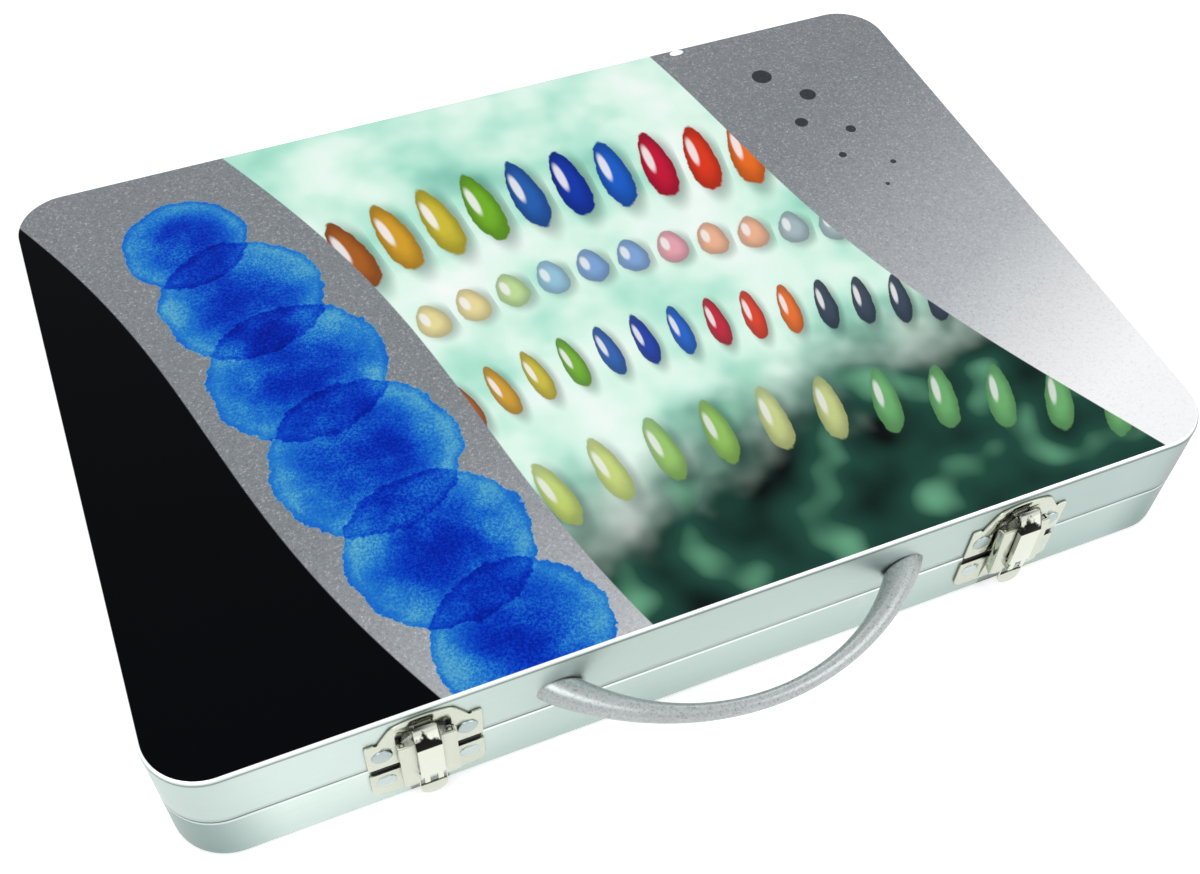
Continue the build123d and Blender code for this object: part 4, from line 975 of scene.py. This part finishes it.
def pad_material():
    """A plain card cover with a soft wash of two colours."""
    graph = Graph("pad_card")
    cloud = graph.noise(45, 3, 0.6)
    fine = graph.noise(0.5, 2, 0.6)
    colour = graph.ramp(cloud, [
        (0.3, srgb(236, 240, 238)), (0.5, srgb(150, 196, 214)), (0.75, srgb(70, 120, 176)),
    ])
    graph.bump(fine, 0.02, 0.5)
    return graph.finish(Base_Color=colour, Roughness=0.5)


def paper_material():
    graph = Graph("paper_sheets")
    layers = graph.noise(0.16, 1, 0.5, stretch=(0.02, 0.02, 1.0))
    graph.bump(layers, 0.05, 0.5)
    colour = graph.mix(layers, srgb(214, 210, 200), srgb(248, 246, 238))
    return graph.finish(Base_Color=colour, Roughness=0.8)


def eraser_material():
    """White rubber in a blue card sleeve."""
    graph = Graph("eraser_rubber")
    low, high = box("eraser")
    length = high.x - low.x
    fine = graph.noise(0.6, 3, 0.6)
    sleeve = graph.step(graph.x, low.x + length * 0.36, low.x + length * 0.37)
    rubber = graph.dim(0.9 + 0.1 * fine, srgb(240, 239, 233))
    graph.bump(fine, 0.03, 0.5)
    return graph.finish(
        Base_Color=graph.mix(sleeve, rubber, srgb(52, 92, 150)), Roughness=0.6 - 0.15 * sleeve
    )


tray_white = plain("tray_white", srgb(236, 238, 238), roughness=0.42, grain=0.7, spread=0.05, depth=0.01)
palette_white = plain(
    "palette_white", srgb(244, 245, 245), roughness=0.22, grain=0.9, spread=0.04, depth=0.006
)
pan_white = plain("pan_white", srgb(240, 240, 238), roughness=0.3, grain=0.5, spread=0.05, depth=0.008)
magnesium = plain(
    "sharpener_magnesium", srgb(196, 199, 202), metallic=1.0, roughness=0.4, grain=0.4, spread=0.15,
    depth=0.03,
)
blade_steel = plain(
    "blade_steel", srgb(176, 178, 182), metallic=1.0, roughness=0.24, grain=0.3, spread=0.2, depth=0.01
)
brass = plain(
    "screw_brass", srgb(204, 170, 96), metallic=1.0, roughness=0.26, grain=0.3, spread=0.12, depth=0.006
)

for node, material, bevel in (
    ("insert_tray", tray_white, 0.0), ("palette", palette_white, 0.0),
    ("round_palette", palette_white, 0.0), ("pan_cups", pan_white, 0.0),
    ("paint_cakes", cake_material(), 0.6), ("pencil_barrels", pencil_paint(), 0.3),
    ("pencil_points", pencil_wood(), 0.0), ("eraser", eraser_material(), 0.3),
    ("sharpener_body", magnesium, 0.3), ("sharpener_blade", blade_steel, 0.08),
    ("sharpener_screw", brass, 0.15), ("pad_sheets", paper_material(), 0.1),
    ("pad_cover", pad_material(), 0.08),
):
    dressed(node, material, bevel, 3)

for item in nodes.values():
    item.data.materials.clear()
    item.data.materials.append(tray_white)


# Floor, light and camera
FLOOR_WHITE, FLOOR_GLOW = 0.9, 0.42
# The room's light grows from its first to its last strength between two heights of a ray
ROOM_HEIGHTS, ROOM_STRENGTHS = (0.1, 0.42), (0.06, 0.68)
# Name, place and size in metres, watts
LAMPS = [
    ("key", (-0.9, -0.5, 1.3), (1.0, 0.8), 6.5),
    ("fill", (0.9, -0.9, 0.9), (1.0, 1.0), 4.5),
    ("back", (0.2, 1.3, 1.0), (1.6, 0.7), 3.5),
]
# The photo's camera, fitted to the case's straight edges: place in mm, axes, lens in mm
CAMERA_PLACE = (-131.85, -301.6, 403.9)
CAMERA_RIGHT = (0.9231035, -0.3834156, 0.0295364)
CAMERA_FORWARD = (0.2569054, 0.5577185, -0.7892716)
CAMERA_UP = (0.286146, 0.736167, 0.613334)
CAMERA_LENS, SENSOR_WIDTH = 42.84, 36


def sees_background(tree):
    """1 for the rays that show the plain background: the camera's, and those of metal and glass."""
    path = tree.nodes.new("ShaderNodeLightPath")
    total = path.outputs["Is Camera Ray"]
    for kind in ("Is Glossy Ray", "Is Transmission Ray"):
        added = tree.nodes.new("ShaderNodeMath")
        added.operation = "MAXIMUM"
        tree.links.new(total, added.inputs[0])
        tree.links.new(path.outputs[kind], added.inputs[1])
        total = added.outputs[0]
    return total


def build_floor():
    """A pale floor that keeps the object's shadow and glows to white where it is seen."""
    bpy.ops.mesh.primitive_plane_add(size=8)
    floor = bpy.context.active_object
    floor.name = "floor"
    material = bpy.data.materials.new("white_floor")
    material.use_nodes = True
    tree = material.node_tree
    tree.nodes.clear()
    output = tree.nodes.new("ShaderNodeOutputMaterial")
    diffuse = tree.nodes.new("ShaderNodeBsdfDiffuse")
    diffuse.inputs["Color"].default_value = (FLOOR_WHITE, FLOOR_WHITE, FLOOR_WHITE, 1)
    glow = tree.nodes.new("ShaderNodeEmission")
    glow.inputs["Strength"].default_value = FLOOR_GLOW
    glowing = tree.nodes.new("ShaderNodeAddShader")
    chosen = tree.nodes.new("ShaderNodeMixShader")
    tree.links.new(diffuse.outputs[0], glowing.inputs[0])
    tree.links.new(glow.outputs[0], glowing.inputs[1])
    tree.links.new(sees_background(tree), chosen.inputs[0])
    tree.links.new(diffuse.outputs[0], chosen.inputs[1])
    tree.links.new(glowing.outputs[0], chosen.inputs[2])
    tree.links.new(chosen.outputs[0], output.inputs[0])
    floor.data.materials.append(material)


def build_world():
    """A room that lights from overhead and is seen white."""
    world = bpy.data.worlds.new("studio")
    bpy.context.scene.world = world
    world.use_nodes = True
    tree = world.node_tree
    background = tree.nodes["Background"]
    background.inputs["Color"].default_value = (1, 1, 1, 1)
    ray = tree.nodes.new("ShaderNodeTexCoord")
    apart = tree.nodes.new("ShaderNodeSeparateXYZ")
    rise = tree.nodes.new("ShaderNodeMapRange")
    rise.interpolation_type = "SMOOTHSTEP"
    ends = ROOM_HEIGHTS + ROOM_STRENGTHS
    for key, value in zip(("From Min", "From Max", "To Min", "To Max"), ends):
        rise.inputs[key].default_value = value
    chosen = tree.nodes.new("ShaderNodeMix")
    chosen.inputs[3].default_value = 1.0
    tree.links.new(ray.outputs["Generated"], apart.inputs[0])
    tree.links.new(apart.outputs[2], rise.inputs["Value"])
    tree.links.new(sees_background(tree), chosen.inputs[0])
    tree.links.new(rise.outputs["Result"], chosen.inputs[2])
    tree.links.new(chosen.outputs[0], background.inputs["Strength"])


def lamp(name, place, size, watts):
    """A rectangular soft lamp that faces the case."""
    data = bpy.data.lights.new(name, "AREA")
    data.shape = "RECTANGLE"
    data.size, data.size_y = size
    data.energy = watts
    item = bpy.data.objects.new(name, data)
    bpy.context.scene.collection.objects.link(item)
    item.location = place
    item.rotation_mode = "QUATERNION"
    item.rotation_quaternion = (-Vector(place)).to_track_quat("-Z", "Y")


def build_camera():
    data = bpy.data.cameras.new("camera")
    camera = bpy.data.objects.new("camera", data)
    bpy.context.scene.collection.objects.link(camera)
    axes = Matrix((CAMERA_RIGHT, CAMERA_UP, -Vector(CAMERA_FORWARD))).transposed()
    camera.matrix_world = Matrix.Translation(Vector(CAMERA_PLACE) * MM) @ axes.to_4x4()
    data.sensor_width = SENSOR_WIDTH
    data.lens = CAMERA_LENS
    data.clip_start, data.clip_end = 0.01, 20
    bpy.context.scene.camera = camera


build_floor()
build_world()
for settings in LAMPS:
    lamp(*settings)
build_camera()
bpy.context.scene.view_settings.view_transform = "Standard"
